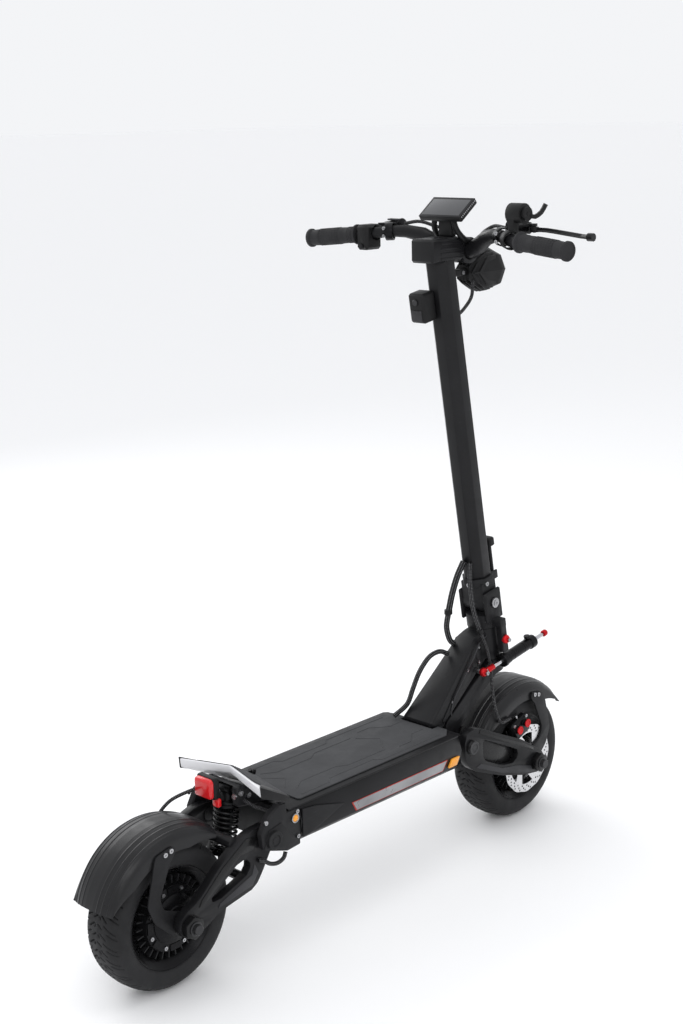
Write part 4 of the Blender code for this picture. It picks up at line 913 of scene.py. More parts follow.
# %% [markdown]
# ## Fenders
# The fenders are thin moulded shells with raised lines that run their whole length. The
# shell follows the tyre, so it is a section swept round the axle. The raised lines are part of
# that section, and a thickness is added at the end.


# %% Fender shells
def fender_section():
    corners = [(0.1222, 0.0527), (0.1330, 0.0530), (0.1415, 0.0520), (0.1480, 0.0480), (0.1520, 0.0430),
               (0.1560, 0.0310), (0.1580, 0.0180), (0.1590, 0.0)]
    half = [(point.x, point.y) for point in smooth_route([(a, b, 0) for a, b in corners], 0.0011)]
    lifted = []
    for radius, left in half:
        lift = 0.0
        if radius > 0.146:
            for line in (0.0090, 0.0200, 0.0310, 0.0420):
                lift = max(lift, 0.0011 * max(0.0, 1 - (abs(left - line) / 0.0016) ** 2))
        lifted.append((radius + lift - 0.0006, left))
    return lifted + [(radius, -left) for radius, left in reversed(lifted[:-1])]


def make_fender(end, centre, start_deg, end_deg):
    section = fender_section()
    steps = 72
    verts = []
    for i in range(steps + 1):
        share = i / steps
        angle = radians(start_deg + (end_deg - start_deg) * share)
        tail = share if end == "rear" else 1 - share
        for radius, left in section:
            skirt = max(0.0, (0.150 - radius) / 0.028)
            cut = 0.020 * skirt * (max(0.0, 1 - share / 0.22) + max(0.0, 1 - (1 - share) / 0.22))
            tuck = max(0.0, (tail - 0.45) / 0.55) ** 2
            reach = min(radius + cut, 0.1580) - 0.0085 * tuck * (1 - skirt)
            verts.append(centre + Vector((reach * cos(angle), left * (1 - 0.10 * tuck), reach * sin(angle))))
    count = len(section)
    faces = []
    for i in range(steps):
        for k in range(count - 1):
            faces.append((i * count + k, i * count + k + 1, (i + 1) * count + k + 1, (i + 1) * count + k))
    shell = face_out(add_mesh(end + "_fender_shell", verts, faces, FENDER_PLASTIC))
    wall = shell.modifiers.new("wall", "SOLIDIFY")
    wall.thickness = 0.0020
    wall.offset = 0.0
    apply_modifiers(shell)
    return settle(shell, end + "_arm", end + "_fender", smooth=50)


make_fender("rear", REAR_AXLE, 55, 158)
make_fender("front", FRONT_AXLE, 38, 145)

for end, centre, facing in (("rear", REAR_AXLE, 1), ("front", FRONT_AXLE, -1)):
    for side_name, side in (("right", -1), ("left", 1)):
        refine(f"{end}_fender_stay_{side_name}", end + "_arm", GREY_BLACK, 0.0007)
    places = []
    for side in (-1, 1):
        for ahead, up in ((-0.0170, 0.1300), (-0.0290, 0.1270)):
            places.append((centre + Vector((facing * ahead, side * 0.0594, up)), (0, side, 0)))
    screws(end + "_stay_screws", places, end + "_arm", 0.0040, 0.0028)

# %% [markdown]
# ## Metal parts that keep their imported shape
# The arms, castings, stem and brackets are already the right shape. What they lack is the
# small radius that every cast or machined edge has, which is what catches the light on a black
# part. Each gets a copy with rounded edges and its own finish.

# %% Rounded copies
for node, body, material, width in (
    ("chassis_tub", "chassis", SATIN_BLACK, 0.0015),
    ("deck_plate", "chassis", SATIN_BLACK, 0.0007),
    ("rear_casting", "chassis", GREY_BLACK, 0.0012),
    ("neck", "chassis", SATIN_BLACK, 0.0020),
    ("shock_bracket", "chassis", GREY_BLACK, 0.0010),
    ("rear_swingarm", "rear_arm", SATIN_BLACK, 0.0016),
    ("rear_axle", "rear_arm", DEEP_BLACK, 0.0009),
    ("rear_caliper", "rear_arm", ANODISED, 0.0009),
    ("fork_bracket", "fork", SATIN_BLACK, 0.0014),
    ("front_pivot_shaft", "fork", DARK_STEEL, 0.0009),
    ("fold_base", "fork", GREY_BLACK, 0.0010),
    ("fold_pin", "fork", SCREW_STEEL, 0.0007),
    ("front_swingarm", "front_arm", SATIN_BLACK, 0.0016),
    ("front_axle", "front_arm", DEEP_BLACK, 0.0009),
    ("front_caliper", "front_arm", ANODISED, 0.0009),
    ("stem_tube", "stem", SATIN_BLACK, 0.0024),
    ("stem_foot", "stem", GREY_BLACK, 0.0010),
    ("stem_head", "stem", SATIN_BLACK, 0.0010),
    ("latch_lever", "latch", MOULDED, 0.0008),
    ("lock_box", "stem", MOULDED, 0.0008),
    ("switch_pod", "stem", MOULDED, 0.0008),
    ("brake_perch_left", "stem", ANODISED, 0.0006),
    ("brake_perch_right", "stem", ANODISED, 0.0006),
    ("throttle_pod", "stem", MOULDED, 0.0008),
    ("throttle_paddle", "throttle", MOULDED, 0.0006),
    ("brake_lever_left", "brake_left", DEEP_BLACK, 0.0),
    ("brake_lever_right", "brake_right", DEEP_BLACK, 0.0),
    ("kickstand", "kickstand_leg", DEEP_BLACK, 0.0006),
    ("shock_body", "shock_upper", ANODISED, 0.0006),
    ("shock_rod", "shock_lower", ANODISED, 0.0006),
    ("handlebar", "stem", SATIN_BLACK, 0.0),
    ("horn_button", "horn", GREY_BLACK, 0.0005),
):
    refine(node, body, material, width)


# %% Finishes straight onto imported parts
def repaint(node, material):
    obj = frame["nodes"][node]
    obj.data.materials.clear()
    obj.data.materials.append(material)


repaint("battery_pack", BATTERY_WRAP)
repaint("motor_controller", BARE_ALLOY)

# %% [markdown]
# ## The deck
# The rider stands on a rubber mat with low moulded lines. Under it the battery tray has bulging
# sides that carry a reflective strip with a thin red border, and an amber reflector near
# the front. The mat is a plate with a chamfered outline, and the lines are thin swept ridges
# that are mostly sunk into it.

# %% Deck mat with moulded lines
MAT_LOW, MAT_HIGH = (Vector(corner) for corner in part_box("deck_mat"))
MAT_RUBBER = surface("deck_mat_rubber", (0.052, 0.053, 0.056), 0.74, 0.0, mottle=0.14, grain=620.0,
                     depth=0.55)


def mat_outline():
    half = MAT_HIGH.y
    notch_rear = spot(0.6345, 0, 0).x
    right = [(MAT_LOW.x, -half + 0.004), (MAT_LOW.x + 0.004, -half), (MAT_HIGH.x - 0.022, -half),
             (MAT_HIGH.x, -half + 0.0176), (MAT_HIGH.x, -0.040), (notch_rear, -0.040)]
    return right + [(ahead, -left) for ahead, left in reversed(right)]


def moulded_lines():
    """Angular lines along both long edges and a pair of arrows across the middle."""
    lines = []
    for side in (-1, 1):
        lines.append([(0.262, 0.070), (0.330, 0.070), (0.342, 0.058), (0.452, 0.058), (0.464, 0.070),
                      (0.618, 0.070)])
        lines[-1] = [(ahead, side * left) for ahead, left in lines[-1]]
        lines.append([(ahead, side * left) for ahead, left in
                      [(0.275, 0.046), (0.300, 0.030), (0.385, 0.030), (0.405, 0.042), (0.500, 0.042)]])
        lines.append([(ahead, side * left) for ahead, left in
                      [(0.530, 0.052), (0.560, 0.052), (0.590, 0.028), (0.622, 0.028)]])
    lines.append([(0.505, -0.034), (0.535, 0.0), (0.505, 0.034)])
    lines.append([(0.262, -0.030), (0.292, 0.0), (0.262, 0.030)])
    return lines


def straight_ridge(name, corners, radius, material):
    """A low ridge with sharp corners, made of short hoses that share their ends."""
    runs = []
    for a, b in zip(corners, corners[1:]):
        runs.append(hose(name, [a, b], radius, material, sides=8, spacing=0.02))
    return runs


mat = plate("deck_mat_sheet", [mat_outline()], MAT_HIGH.z - MAT_LOW.z,
            Vector((0, 0, (MAT_LOW.z + MAT_HIGH.z) / 2)),
            (1, 0, 0), (0, 1, 0), MAT_RUBBER, bevel=0.0009)
ridges = []
for line in moulded_lines():
    corners = [spot(ahead, left, MAT_HIGH.z - 0.0003) for ahead, left in line]
    ridges += straight_ridge("ridge", corners, 0.0010, MAT_RUBBER)
as_one("deck_mat_moulded", [mat] + ridges, "chassis", "deck_mat")
print("moulded lines:", len(moulded_lines()))


# %% Strips, reflectors and corner guards on the tray's sides
def side_plate(name, side, outline, lift, thickness, material, bevel=0.0):
    """A plate on the tray's lower side facet. The outline is (ahead, up the facet)."""
    up = Vector((0, side * 0.0065, 0.0310)).normalized()
    right = Vector((-side, 0, 0))
    foot = spot(0, side * 0.0900, 0.2010)
    normal = right.cross(up)
    loop = [(right.x * (ahead + REAR_AXLE.x - foot.x), up_it) for ahead, up_it in outline]
    return plate(name, [loop], thickness, foot + normal * (lift + thickness / 2), right, up, material, bevel)


for side_name, side in (("right", -1), ("left", 1)):
    border = side_plate("strip_border", side,
                        [(0.372, 0.0035), (0.604, 0.0035), (0.612, 0.0245), (0.358, 0.0245)],
                        0.0001, 0.0007, RED_LINE)
    strip = side_plate("strip", side,
                       [(0.3745, 0.0045), (0.6025, 0.0045), (0.6100, 0.0235), (0.3610, 0.0235)],
                       0.0001, 0.0009, REFLECTIVE)
    amber = side_plate("marker", side, [(0.616, 0.0060), (0.640, 0.0060), (0.644, 0.0235), (0.622, 0.0235)],
                       0.0002, 0.0040, AMBER, 0.0012)
    guard_outline = [(0.2370, 0.2040), (0.2620, 0.2060), (0.3380, 0.2320), (0.2700, 0.2500), (0.2370, 0.2540)]
    guard = plate("guard", [[(ahead + REAR_AXLE.x, up) for ahead, up in guard_outline]], 0.0030,
                  Vector((0, side * 0.0965, 0)), (1, 0, 0), (0, 0, 1), GREY_BLACK, 0.0012)
    rail = plate("rail", [[(ahead + REAR_AXLE.x, up) for ahead, up in
                 [(0.262, 0.2525), (0.645, 0.2525), (0.645, 0.2340), (0.345, 0.2340)]]], 0.0014,
                 Vector((0, side * 0.0930, 0)), (1, 0, 0), Vector((0, side * -0.30, 0.95)), SATIN_BLACK,
                 0.0005)
    as_one("tray_trim_" + side_name, [border, strip, amber, guard, rail], "chassis")

# %% [markdown]
# ## The foot rest over the rear wheel
# The rear foot rest sweeps back to a shallow V and slopes up towards the rear. Its body is
# painted white, and a black grip pad covers the top except for a margin along the rear edge
# and a block at each end. The pad follows the body's top, so it is lofted across the width.


# %% Foot rest and grip pad
def kick_edge(left, front):
    """The foot rest's top edge at a distance left: the rear edge or the front one."""
    share = abs(left) / 0.100
    rear = Vector((0.164 - 0.024 * share, left, 0.3290 - 0.0060 * share))
    fore = Vector((0.228 - 0.023 * share, left, 0.2860))
    place = fore if front else rear
    return Vector((REAR_AXLE.x + place.x, place.y, place.z))


def kick_pad():
    stations = [0.0965 * k / 12 for k in range(-12, 13)]
    verts = []
    for left in stations:
        rear, fore = kick_edge(left, False), kick_edge(left, True)
        inset = 0.10 if abs(left) < 0.070 else 0.10 + 0.42 * (abs(left) - 0.070) / 0.0265
        for share in (inset, 0.4, 0.7, 0.985):
            place = rear.lerp(fore, max(share, inset))
            verts.append(place + Vector((0.0006, 0, 0.0011)))
    faces = []
    for i in range(len(stations) - 1):
        for k in range(3):
            faces.append((i * 4 + k, i * 4 + k + 1, i * 4 + k + 5, i * 4 + k + 4))
    pad = add_mesh("kick_pad", verts, faces, MAT_RUBBER)
    bm = bmesh.new()
    bm.from_mesh(pad.data)
    bmesh.ops.remove_doubles(bm, verts=bm.verts, dist=0.0004)
    bmesh.ops.recalc_face_normals(bm, faces=bm.faces)
    bm.to_mesh(pad.data)
    bm.free()
    wall = pad.modifiers.new("wall", "SOLIDIFY")
    wall.thickness = 0.0024
    wall.offset = 0.0
    apply_modifiers(pad)
    return bevelled(pad, 0.0006)


refine("kick_plate", "chassis", WHITE_PAINT, 0.0012)
settle(kick_pad(), "chassis")


def kick_end(side):
    """The black end that wraps round the foot rest's tip."""
    verts = []
    for left in (0.0790, 0.1006):
        share = left / 0.1
        rear, fore = kick_edge(side * left, False), kick_edge(side * left, True)
        inward = 0.0170 * (1 - (left - 0.0790) / 0.0216)
        verts += [
            rear + Vector((-0.0008 + inward, 0, 0.0024 - inward * 0.5)), fore + Vector((0.0010, 0, 0.0022)),
            fore + Vector((0.0010, 0, -0.0080)),
                  rear + Vector((0.0012 + inward, 0, -0.0165 - 0.0026 * share)),
        ]
    faces = [(0, 1, 2, 3), (7, 6, 5, 4), (0, 4, 5, 1), (1, 5, 6, 2), (2, 6, 7, 3), (3, 7, 4, 0)]
    cap = face_out(add_mesh("kick_end", verts, faces, MOULDED))
    return bevelled(cap, 0.0010)


as_one("kick_plate_ends", [kick_end(-1), kick_end(1)], "chassis")
bracket_screws = [
    (spot(0.1530, -0.0392, 0.2930), (0, -1, 0)), (spot(0.1700, -0.0392, 0.2850), (0, -1, 0)),
    (spot(0.2180, -0.0392, 0.2665), (0, -1, 0)), (spot(0.1530, 0.0392, 0.2930), (0, 1, 0)),
    (spot(0.1700, 0.0392, 0.2850), (0, 1, 0)),
    (spot(0.1452, -0.0320, 0.2880), (-1, 0, 0)), (spot(0.1452, 0.0320, 0.2880), (-1, 0, 0)),
]
screws("bracket_screws", bracket_screws, "chassis", 0.0046, 0.0036)

# %% [markdown]
# ## Tail light
# The tail light is a red lens in a black frame, on a short arm behind the foot rest, with a
# small red reflector under it.


# %% Tail light
def tail_light():
    low, high = (Vector(corner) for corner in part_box("tail_light"))
    centre = Vector((low.x + 0.0110, 0, (low.z + high.z) / 2))
    frame_block = rounded_block("frame", (0.0130, 0.0440, 0.0380), centre + Vector((0.0045, 0, 0)), MOULDED,
                                None, 0.004)
    lens = rounded_block("lens", (0.0150, 0.0400, 0.0340), centre + Vector((-0.0030, 0, 0)), RED_LENS, None,
                         0.006, 4)
    arm = rounded_block("arm", (0.0330, 0.0170, 0.0110), spot(0.1290, 0, 0.2965), MOULDED, None, 0.002)
    drop = rounded_block("drop", (0.0090, 0.0150, 0.0150), spot(0.1240, -0.0120, 0.2790), RED_LENS, None,
                         0.003)
    stalk = rounded_block("stalk", (0.0080, 0.0090, 0.0200), spot(0.1280, -0.0110, 0.2880), MOULDED, None,
                          0.002)
    return as_one("tail_light_finished", [frame_block, lens, arm, drop, stalk], "chassis", "tail_light")


tail_light()
screws("tail_screws",
       [(spot(0.1300, 0.0105, 0.2965), (0, 1, 0)), (spot(0.1300, -0.0095, 0.2965), (0, -1, 0))],
       "chassis", 0.0034, 0.0024)

# %% [markdown]
# ## Shock absorber
# The spring is a round wire wound on a helix between two seats. A node tree winds it: a
# spiral curve, a circle for the wire, and one number each for the turns, the radius and
# the height. It rides on the shock's upper body at one fixed length.


# %% A coil by Geometry Nodes
def make_coil_tree():
    tree, given, result = new_tree(
        "wound_coil",
        [("Turns", "NodeSocketFloat", 6.0), ("Coil Radius", "NodeSocketFloat", 0.02),
         ("Height", "NodeSocketFloat", 0.07), ("Wire Radius", "NodeSocketFloat", 0.003),
         ("Finish", "NodeSocketMaterial", None)],
    )
    link = tree.links.new
    spiral = tree.nodes.new("GeometryNodeCurveSpiral")
    spiral.inputs["Resolution"].default_value = 40
    link(given.outputs["Turns"], spiral.inputs["Rotations"])
    link(given.outputs["Coil Radius"], spiral.inputs["Start Radius"])
    link(given.outputs["Coil Radius"], spiral.inputs["End Radius"])
    link(given.outputs["Height"], spiral.inputs["Height"])
    wire = tree.nodes.new("GeometryNodeCurvePrimitiveCircle")
    wire.inputs["Resolution"].default_value = 14
    link(given.outputs["Wire Radius"], wire.inputs["Radius"])
    sweep = tree.nodes.new("GeometryNodeCurveToMesh")
    sweep.inputs["Fill Caps"].default_value = True
    link(spiral.outputs["Curve"], sweep.inputs["Curve"])
    link(wire.outputs["Curve"], sweep.inputs["Profile Curve"])
    real = tree.nodes.new("GeometryNodeRealizeInstances")
    link(sweep.outputs["Mesh"], real.inputs["Geometry"])
    paint = tree.nodes.new("GeometryNodeSetMaterial")
    link(real.outputs["Geometry"], paint.inputs["Geometry"])
    link(given.outputs["Finish"], paint.inputs["Material"])
    link(paint.outputs["Geometry"], result.inputs["Geometry"])
    return tree


COIL_TREE = make_coil_tree()


def coil(name, start, axis, turns, radius, height, wire, material):
    obj = bpy.data.objects.new(name, bpy.data.meshes.new(name))
    bpy.context.scene.collection.objects.link(obj)
    obj.matrix_world = Matrix.Translation(start) @ Vector(axis).to_track_quat("Z", "Y").to_matrix().to_4x4()
    values = {"Turns": turns, "Coil Radius": radius, "Height": height, "Wire Radius": wire,
              "Finish": material}
    return run_tree(obj, COIL_TREE, values)


SHOCK_TOP = Vector(JOINTS["shock_swing"]["pos_m"])
SHOCK_UP = Vector(JOINTS["shock_stroke"]["axis"]).normalized()
SHOCK_FOOT = SHOCK_TOP - SHOCK_UP * 0.1396
spring = coil("shock_spring_wound", SHOCK_FOOT + SHOCK_UP * 0.0362, SHOCK_UP, 8.2, 0.0195, 0.0696, 0.0026,
              DEEP_BLACK)
face_out(spring)
settle(spring, "shock_upper", "shock_spring", smooth=60)
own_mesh(spring)
collar = turned("preload_ring", SHOCK_FOOT + SHOCK_UP * 0.1150, SHOCK_FOOT + SHOCK_UP * 0.1210,
                [(0, 0.0130), (0, 0.0205), (0.0010, 0.0215), (0.0042, 0.0215), (0.0050, 0.0205),
                 (0.0050, 0.0130)],
                ANODISED, 40)
ribs = rib_ring("ribs", SHOCK_FOOT + SHOCK_UP * 0.1175, SHOCK_UP, 16, 0.0213, (0.0014, 0.0022, 0.0036),
                ANODISED)
as_one("preload_ring_ribbed", [collar, ribs], "shock_upper")
shaft = turned("shock_shaft", SHOCK_FOOT + SHOCK_UP * 0.0300, SHOCK_FOOT + SHOCK_UP * 0.060,
               pill(0.0260, 0.0060, 0.0005), CARTRIDGE, 32)
settle(shaft, "shock_lower")

# %% [markdown]
# ## Brake calipers and pivot caps
# Each caliper has two round piston covers in red. The arms turn on large pivots whose ends
# show as stepped round caps. All of these are turned pieces, like on a lathe.

# %% Caps and covers
CAP = [(0.0, 0.0150), (0.0030, 0.0150), (0.0040, 0.0140), (0.0040, 0.0098), (0.0028, 0.0092),
       (0.0028, 0.0060),
       (0.0034, 0.0055), (0.0034, 0.0010)]


def round_cap(name, place, way, scale, material, profile=CAP):
    scaled = [(along * scale, radius * scale) for along, radius in profile]
    return turned(name, place, Vector(place) + Vector(way), scaled, material, 40)


def caliper_covers(end, centre, angle_deg, side):
    out = Vector((cos(radians(angle_deg)), 0, sin(radians(angle_deg))))
    along = Vector((-out.z, 0, out.x))
    pieces = []
    for shift in (-0.0125, 0.0125):
        place = centre + out * 0.083 + along * shift + Vector((0, side * 0.0672, 0))
        pieces.append(round_cap("cover", place, (0, side, 0), 0.56, RED_ANODISED))
    bridge = centre + out * 0.0985 + Vector((0, side * 0.0535, 0))
    pieces.append(turned("bleed", bridge, bridge + out, pill(0.0080, 0.0028), SCREW_STEEL, 16))
    as_one(end + "_caliper_covers", pieces, end + "_arm")
    places = [(centre + out * 0.0955 + along * shift + Vector((0, side * 0.0622, 0)), (0, side, 0))
              for shift in (-0.019, 0.019)]
    screws(end + "_caliper_screws", places, end + "_arm", 0.0032, 0.0026)


caliper_covers("rear", REAR_AXLE, 70, 1)
caliper_covers("front", FRONT_AXLE, 110, -1)
REAR_PIVOT = Vector(JOINTS["rear_suspension"]["pos_m"])
FRONT_PIVOT = Vector(JOINTS["front_suspension"]["pos_m"])
for side in (-1, 1):
    name = "right" if side < 0 else "left"
    cap = round_cap("cap", REAR_PIVOT + Vector((0, side * 0.0985, 0)), (0, side, 0), 1.05, GREY_BLACK)
    settle(cap, "chassis")
    cap.name = "rear_pivot_cap_" + name
    cap = round_cap("cap", FRONT_PIVOT + Vector((0, side * 0.0834, 0)), (0, side, 0), 0.85, DARK_STEEL)
    settle(cap, "fork")
    cap.name = "front_pivot_cap_" + name
    for end, centre in (("rear", REAR_AXLE), ("front", FRONT_AXLE)):
        nut = [(0, 0.0120), (0.0022, 0.0120), (0.0030, 0.0108), (0.0030, 0.0088), (0.0090, 0.0086),
               (0.0100, 0.0076)]
        cap = round_cap("cap", centre + Vector((0, side * 0.0905, 0)), (0, side, 0), 1.0, DARK_STEEL, nut)
        cap.name = f"{end}_axle_end_{name}"
        settle(cap, end + "_arm")

# %% [markdown]
# ## Arms and casting
# The arms are flat plates with a raised panel on the outside. The rear casting carries a round
# amber marker on each side and screws that hold it to the tray.


# %% Raised panels and markers
def side_panel(name, outline, left, side, thickness, material, bevel):
    loop = [(ahead + REAR_AXLE.x, up) for ahead, up in outline]
    return plate(name, [loop], thickness, Vector((0, side * left, 0)), (1, 0, 0), (0, 0, 1), material, bevel)


REAR_PANEL = [(0.020, 0.151), (0.038, 0.158), (0.112, 0.209), (0.140, 0.209), (0.150, 0.229), (0.126, 0.234),
              (0.072, 0.201), (0.026, 0.162)]
REAR_KEEL = [(0.060, 0.135), (0.136, 0.147), (0.150, 0.166), (0.142, 0.184), (0.136, 0.166), (0.064, 0.142)]
FRONT_PANEL = [(0.724, 0.238), (0.800, 0.200), (0.858, 0.172), (0.892, 0.154), (0.892, 0.160), (0.862, 0.178),
               (0.798, 0.207), (0.728, 0.245)]
FRONT_KEEL = [(0.716, 0.172), (0.790, 0.139), (0.860, 0.117), (0.896, 0.108), (0.884, 0.124), (0.840, 0.139),
              (0.796, 0.146), (0.730, 0.176)]
KEEL = surface("keel_grey", (0.040, 0.040, 0.043), 0.40, 0.2, grain=800.0, depth=0.12, scuffs=0.15)
for side_name, side in (("right", -1), ("left", 1)):
    panels = [
        side_panel("panel", REAR_PANEL, 0.0780, side, 0.0024, DEEP_BLACK, 0.0007),
        side_panel("keel", REAR_KEEL, 0.0780, side, 0.0022, KEEL, 0.0007),
    ]
    as_one("rear_arm_panels_" + side_name, panels, "rear_arm")
    panels = [
        side_panel("panel", FRONT_PANEL, 0.0780, side, 0.0024, DEEP_BLACK, 0.0007),
        side_panel("keel", FRONT_KEEL, 0.0780, side, 0.0022, KEEL, 0.0007),
    ]
    as_one("front_arm_panels_" + side_name, panels, "front_arm")
    marker = spot(0.2210, side * 0.0940, 0.2430)
    ring = turned("ring", marker, marker + Vector((0, side, 0)),
                  [(0, 0.0082), (0.0034, 0.0082), (0.0040, 0.0074), (0.0034, 0.0062), (0, 0.0062)],
                  SCREW_STEEL, 28)
    dome = turned("dome", marker, marker + Vector((0, side, 0)),
                  [(0, 0.0062), (0.0030, 0.0060), (0.0046, 0.0044), (0.0054, 0.0020), (0.0056, 0.0004)],
                  AMBER, 28)
    facet = side_panel("facet",
                       [(0.150, 0.212), (0.178, 0.202), (0.206, 0.1925), (0.232, 0.196), (0.205, 0.226),
                                 (0.190, 0.246), (0.160, 0.240)], 0.0950, side, 0.0020, SATIN_BLACK, 0.0008)
    as_one("casting_trim_" + side_name, [ring, dome, facet], "chassis")
    screws("casting_screws_" + side_name,
           [(spot(0.2270, side * 0.0958, 0.2090), (0, side, 0)),
            (spot(0.2270, side * 0.0950, 0.2530), (0, side, 0)),
            (spot(0.1550, side * 0.0958, 0.2560), (0, side, 0))], "chassis", 0.0036, 0.0028)

# %% [markdown]
# ## Neck, fold hinge and steering damper
# The neck is a leaning casting with a cover plate on each side, held by small screws. Beside
# it a chromed rod slides through the steering damper, from a red ball joint on the neck to a
# stud on the steered part. The balls are turned profiles, because a ball joint is a
# ball with two collars.


# %% Neck covers
def neck_cover(side):
    outline = [(0.6700, 0.2680), (0.7820, 0.3880), (0.8000, 0.3960), (0.8120, 0.3920), (0.8160, 0.3620),
               (0.8060, 0.3530), (0.6880, 0.2740), (0.6740, 0.2600)]
    right = Vector((0.130, side * -0.0144, 0)).normalized()
    origin = spot(0.660, side * 0.0360, 0)
    loop = [((ahead - 0.660) / right.x, up) for ahead, up in outline]
    return plate("cover", [loop], 0.0030, origin, right, (0, 0, 1), SATIN_BLACK, 0.0011)


for side_name, side in (("right", -1), ("left", 1)):
    cover = neck_cover(side)
    clip = rounded_block("clip", (0.0120, 0.0030, 0.0440), spot(0.7900, side * 0.0232, 0.3660), GREY_BLACK,
                         Matrix.Rotation(radians(-8), 3, "Y"), 0.001)
    as_one("neck_cover_" + side_name, [cover, clip], "chassis")
    screws("neck_screws_" + side_name,
           [(spot(0.7900, side * 0.0250, 0.3810), (0, side, 0)),
            (spot(0.7900, side * 0.0250, 0.3510), (0, side, 0)),
            (spot(0.7010, side * 0.0332, 0.2960), (0, side, 0)),
            (spot(0.7520, side * 0.0280, 0.3450), (0, side, 0))],
           "chassis", 0.0030, 0.0022)


# %% Steering damper
def on_damper(ahead, left=-0.045, along=0.0):
    return on_stem(ahead, left, along, STEER_FOOT)


BALL_JOINT = [(0.0, 0.0050), (0.0015, 0.0050), (0.0020, 0.0064), (0.0045, 0.0083), (0.0075, 0.0090),
              (0.0105, 0.0083),
              (0.0130, 0.0064), (0.0135, 0.0046), (0.0160, 0.0044), (0.0165, 0.0036)]
rod_piece = turned("rod", on_damper(-0.060), on_damper(0.130), pill(0.186, 0.0040, 0.0006), CARTRIDGE, 32)
tip = turned("tip", on_damper(0.1215), on_damper(0.132),
             [(0, 0.0042), (0, 0.0058), (0.0010, 0.0064), (0.0080, 0.0064), (0.0100, 0.0050),
              (0.0105, 0.0020)],
             RED_ANODISED, 28)
ball = turned("ball", on_damper(-0.064, -0.0360), on_damper(-0.064, -0.0600), BALL_JOINT, RED_ANODISED, 32)
post = turned("post", on_damper(-0.064, -0.0225), on_damper(-0.064, -0.0400), pill(0.0150, 0.0050),
              SCREW_STEEL, 20)
shank = turned("shank", on_damper(-0.0560), on_damper(-0.0300), pill(0.0200, 0.0058), RED_ANODISED, 24)
as_one("damper_rod_finished", [rod_piece, tip, ball, post, shank], "chassis", "damper_rod")
screws("damper_screw", [(on_damper(-0.064, -0.0530), (0, -1, 0))], "chassis", 0.0040, 0.0030)
BODY = [(0.0, 0.0048), (0.0, 0.0125), (0.0012, 0.0135), (0.0080, 0.0135), (0.0095, 0.0120), (0.0180, 0.0120),
        (0.0190, 0.0110), (0.0280, 0.0110), (0.0285, 0.0104), (0.0300, 0.0104), (0.0305, 0.0110),
        (0.0600, 0.0110),
        (0.0605, 0.0104), (0.0620, 0.0104), (0.0625, 0.0110), (0.0840, 0.0110), (0.0850, 0.0128),
        (0.0940, 0.0132),
        (0.0985, 0.0128), (0.1000, 0.0110), (0.1000, 0.0048)]
settle(turned("damper_body_finished", on_damper(-0.010), on_damper(0.10), BODY, ANODISED, 48),
       "steering_damper", "damper_body")
stud = turned("stud_ball", on_damper(0.0, -0.0450, 0.0440), on_damper(0.0, -0.0700, 0.0440), BALL_JOINT,
              RED_ANODISED, 32)
settle(stud, "fork")
screws("stud_screw", [(on_damper(0.0, -0.0622, 0.0440), (0, -1, 0))], "fork", 0.0038, 0.0028)
knob = turned("knob", on_damper(0.0720, -0.045, 0.0130), on_damper(0.0720, -0.045, 0.020),
              [(0, 0.0060), (0.0040, 0.0066), (0.0052, 0.0058), (0.0052, 0.0010)], ANODISED, 24)
settle(knob, "steering_damper")
knob.name = "damper_knob"

screws("fold_screws",
       [(on_stem(0.0, -0.0388, 0.0), (0, -1, 0)), (on_stem(0.0, 0.0388, 0.0), (0, 1, 0))], "fork", 0.0060,
       0.0030)
screws("foot_screws",
       [(on_stem(-0.008, -0.0285, 0.0410), (0, -1, 0)), (on_stem(0.0, 0.0285, 0.0410), (0, 1, 0)),
        (on_stem(-0.0285, 0.0, 0.0410), tuple(-STEER_AHEAD))], "stem", 0.0042, 0.0030)
screws("base_screws",
       [(on_stem(0.0290 * cos(a), 0.0290 * sin(a), -0.0330), (cos(a), sin(a), 0)) for a in (2.3, 3.14, 3.98)],
       "fork", 0.0036, 0.0030, DARK_STEEL)

# %% [markdown]
# ## Details along the neck, the front arm and the deck
# A thin lighter line runs along the neck where its side cover ends: it is a painted highlight, for the light
# on the chamfered edge. Dark plates inside the front arm's windows are painted shade, for the shadow seen
# through them. A small hook stands on the deck in front of the foot rest.


# %% Painted highlight line, painted shade plates and hook
def paint_neck_highlights():
    for side in (-1, 1):
        edge = [spot(0.8120, side * 0.0262, 0.3985), spot(0.7860, side * 0.0288, 0.3900),
                spot(0.7700, side * 0.0300, 0.3690), spot(0.7060, side * 0.0345, 0.3040),
                spot(0.6960, side * 0.0352, 0.2850), spot(0.6950, side * 0.0352, 0.2720)]
        # Painted highlight: a lighter grey ridge stands for the light caught on the neck's chamfered edge.
        pieces = straight_ridge("edge", edge, 0.0011, KEEL)
        as_one("neck_painted_highlight_" + ("right" if side < 0 else "left"), pieces, "chassis")


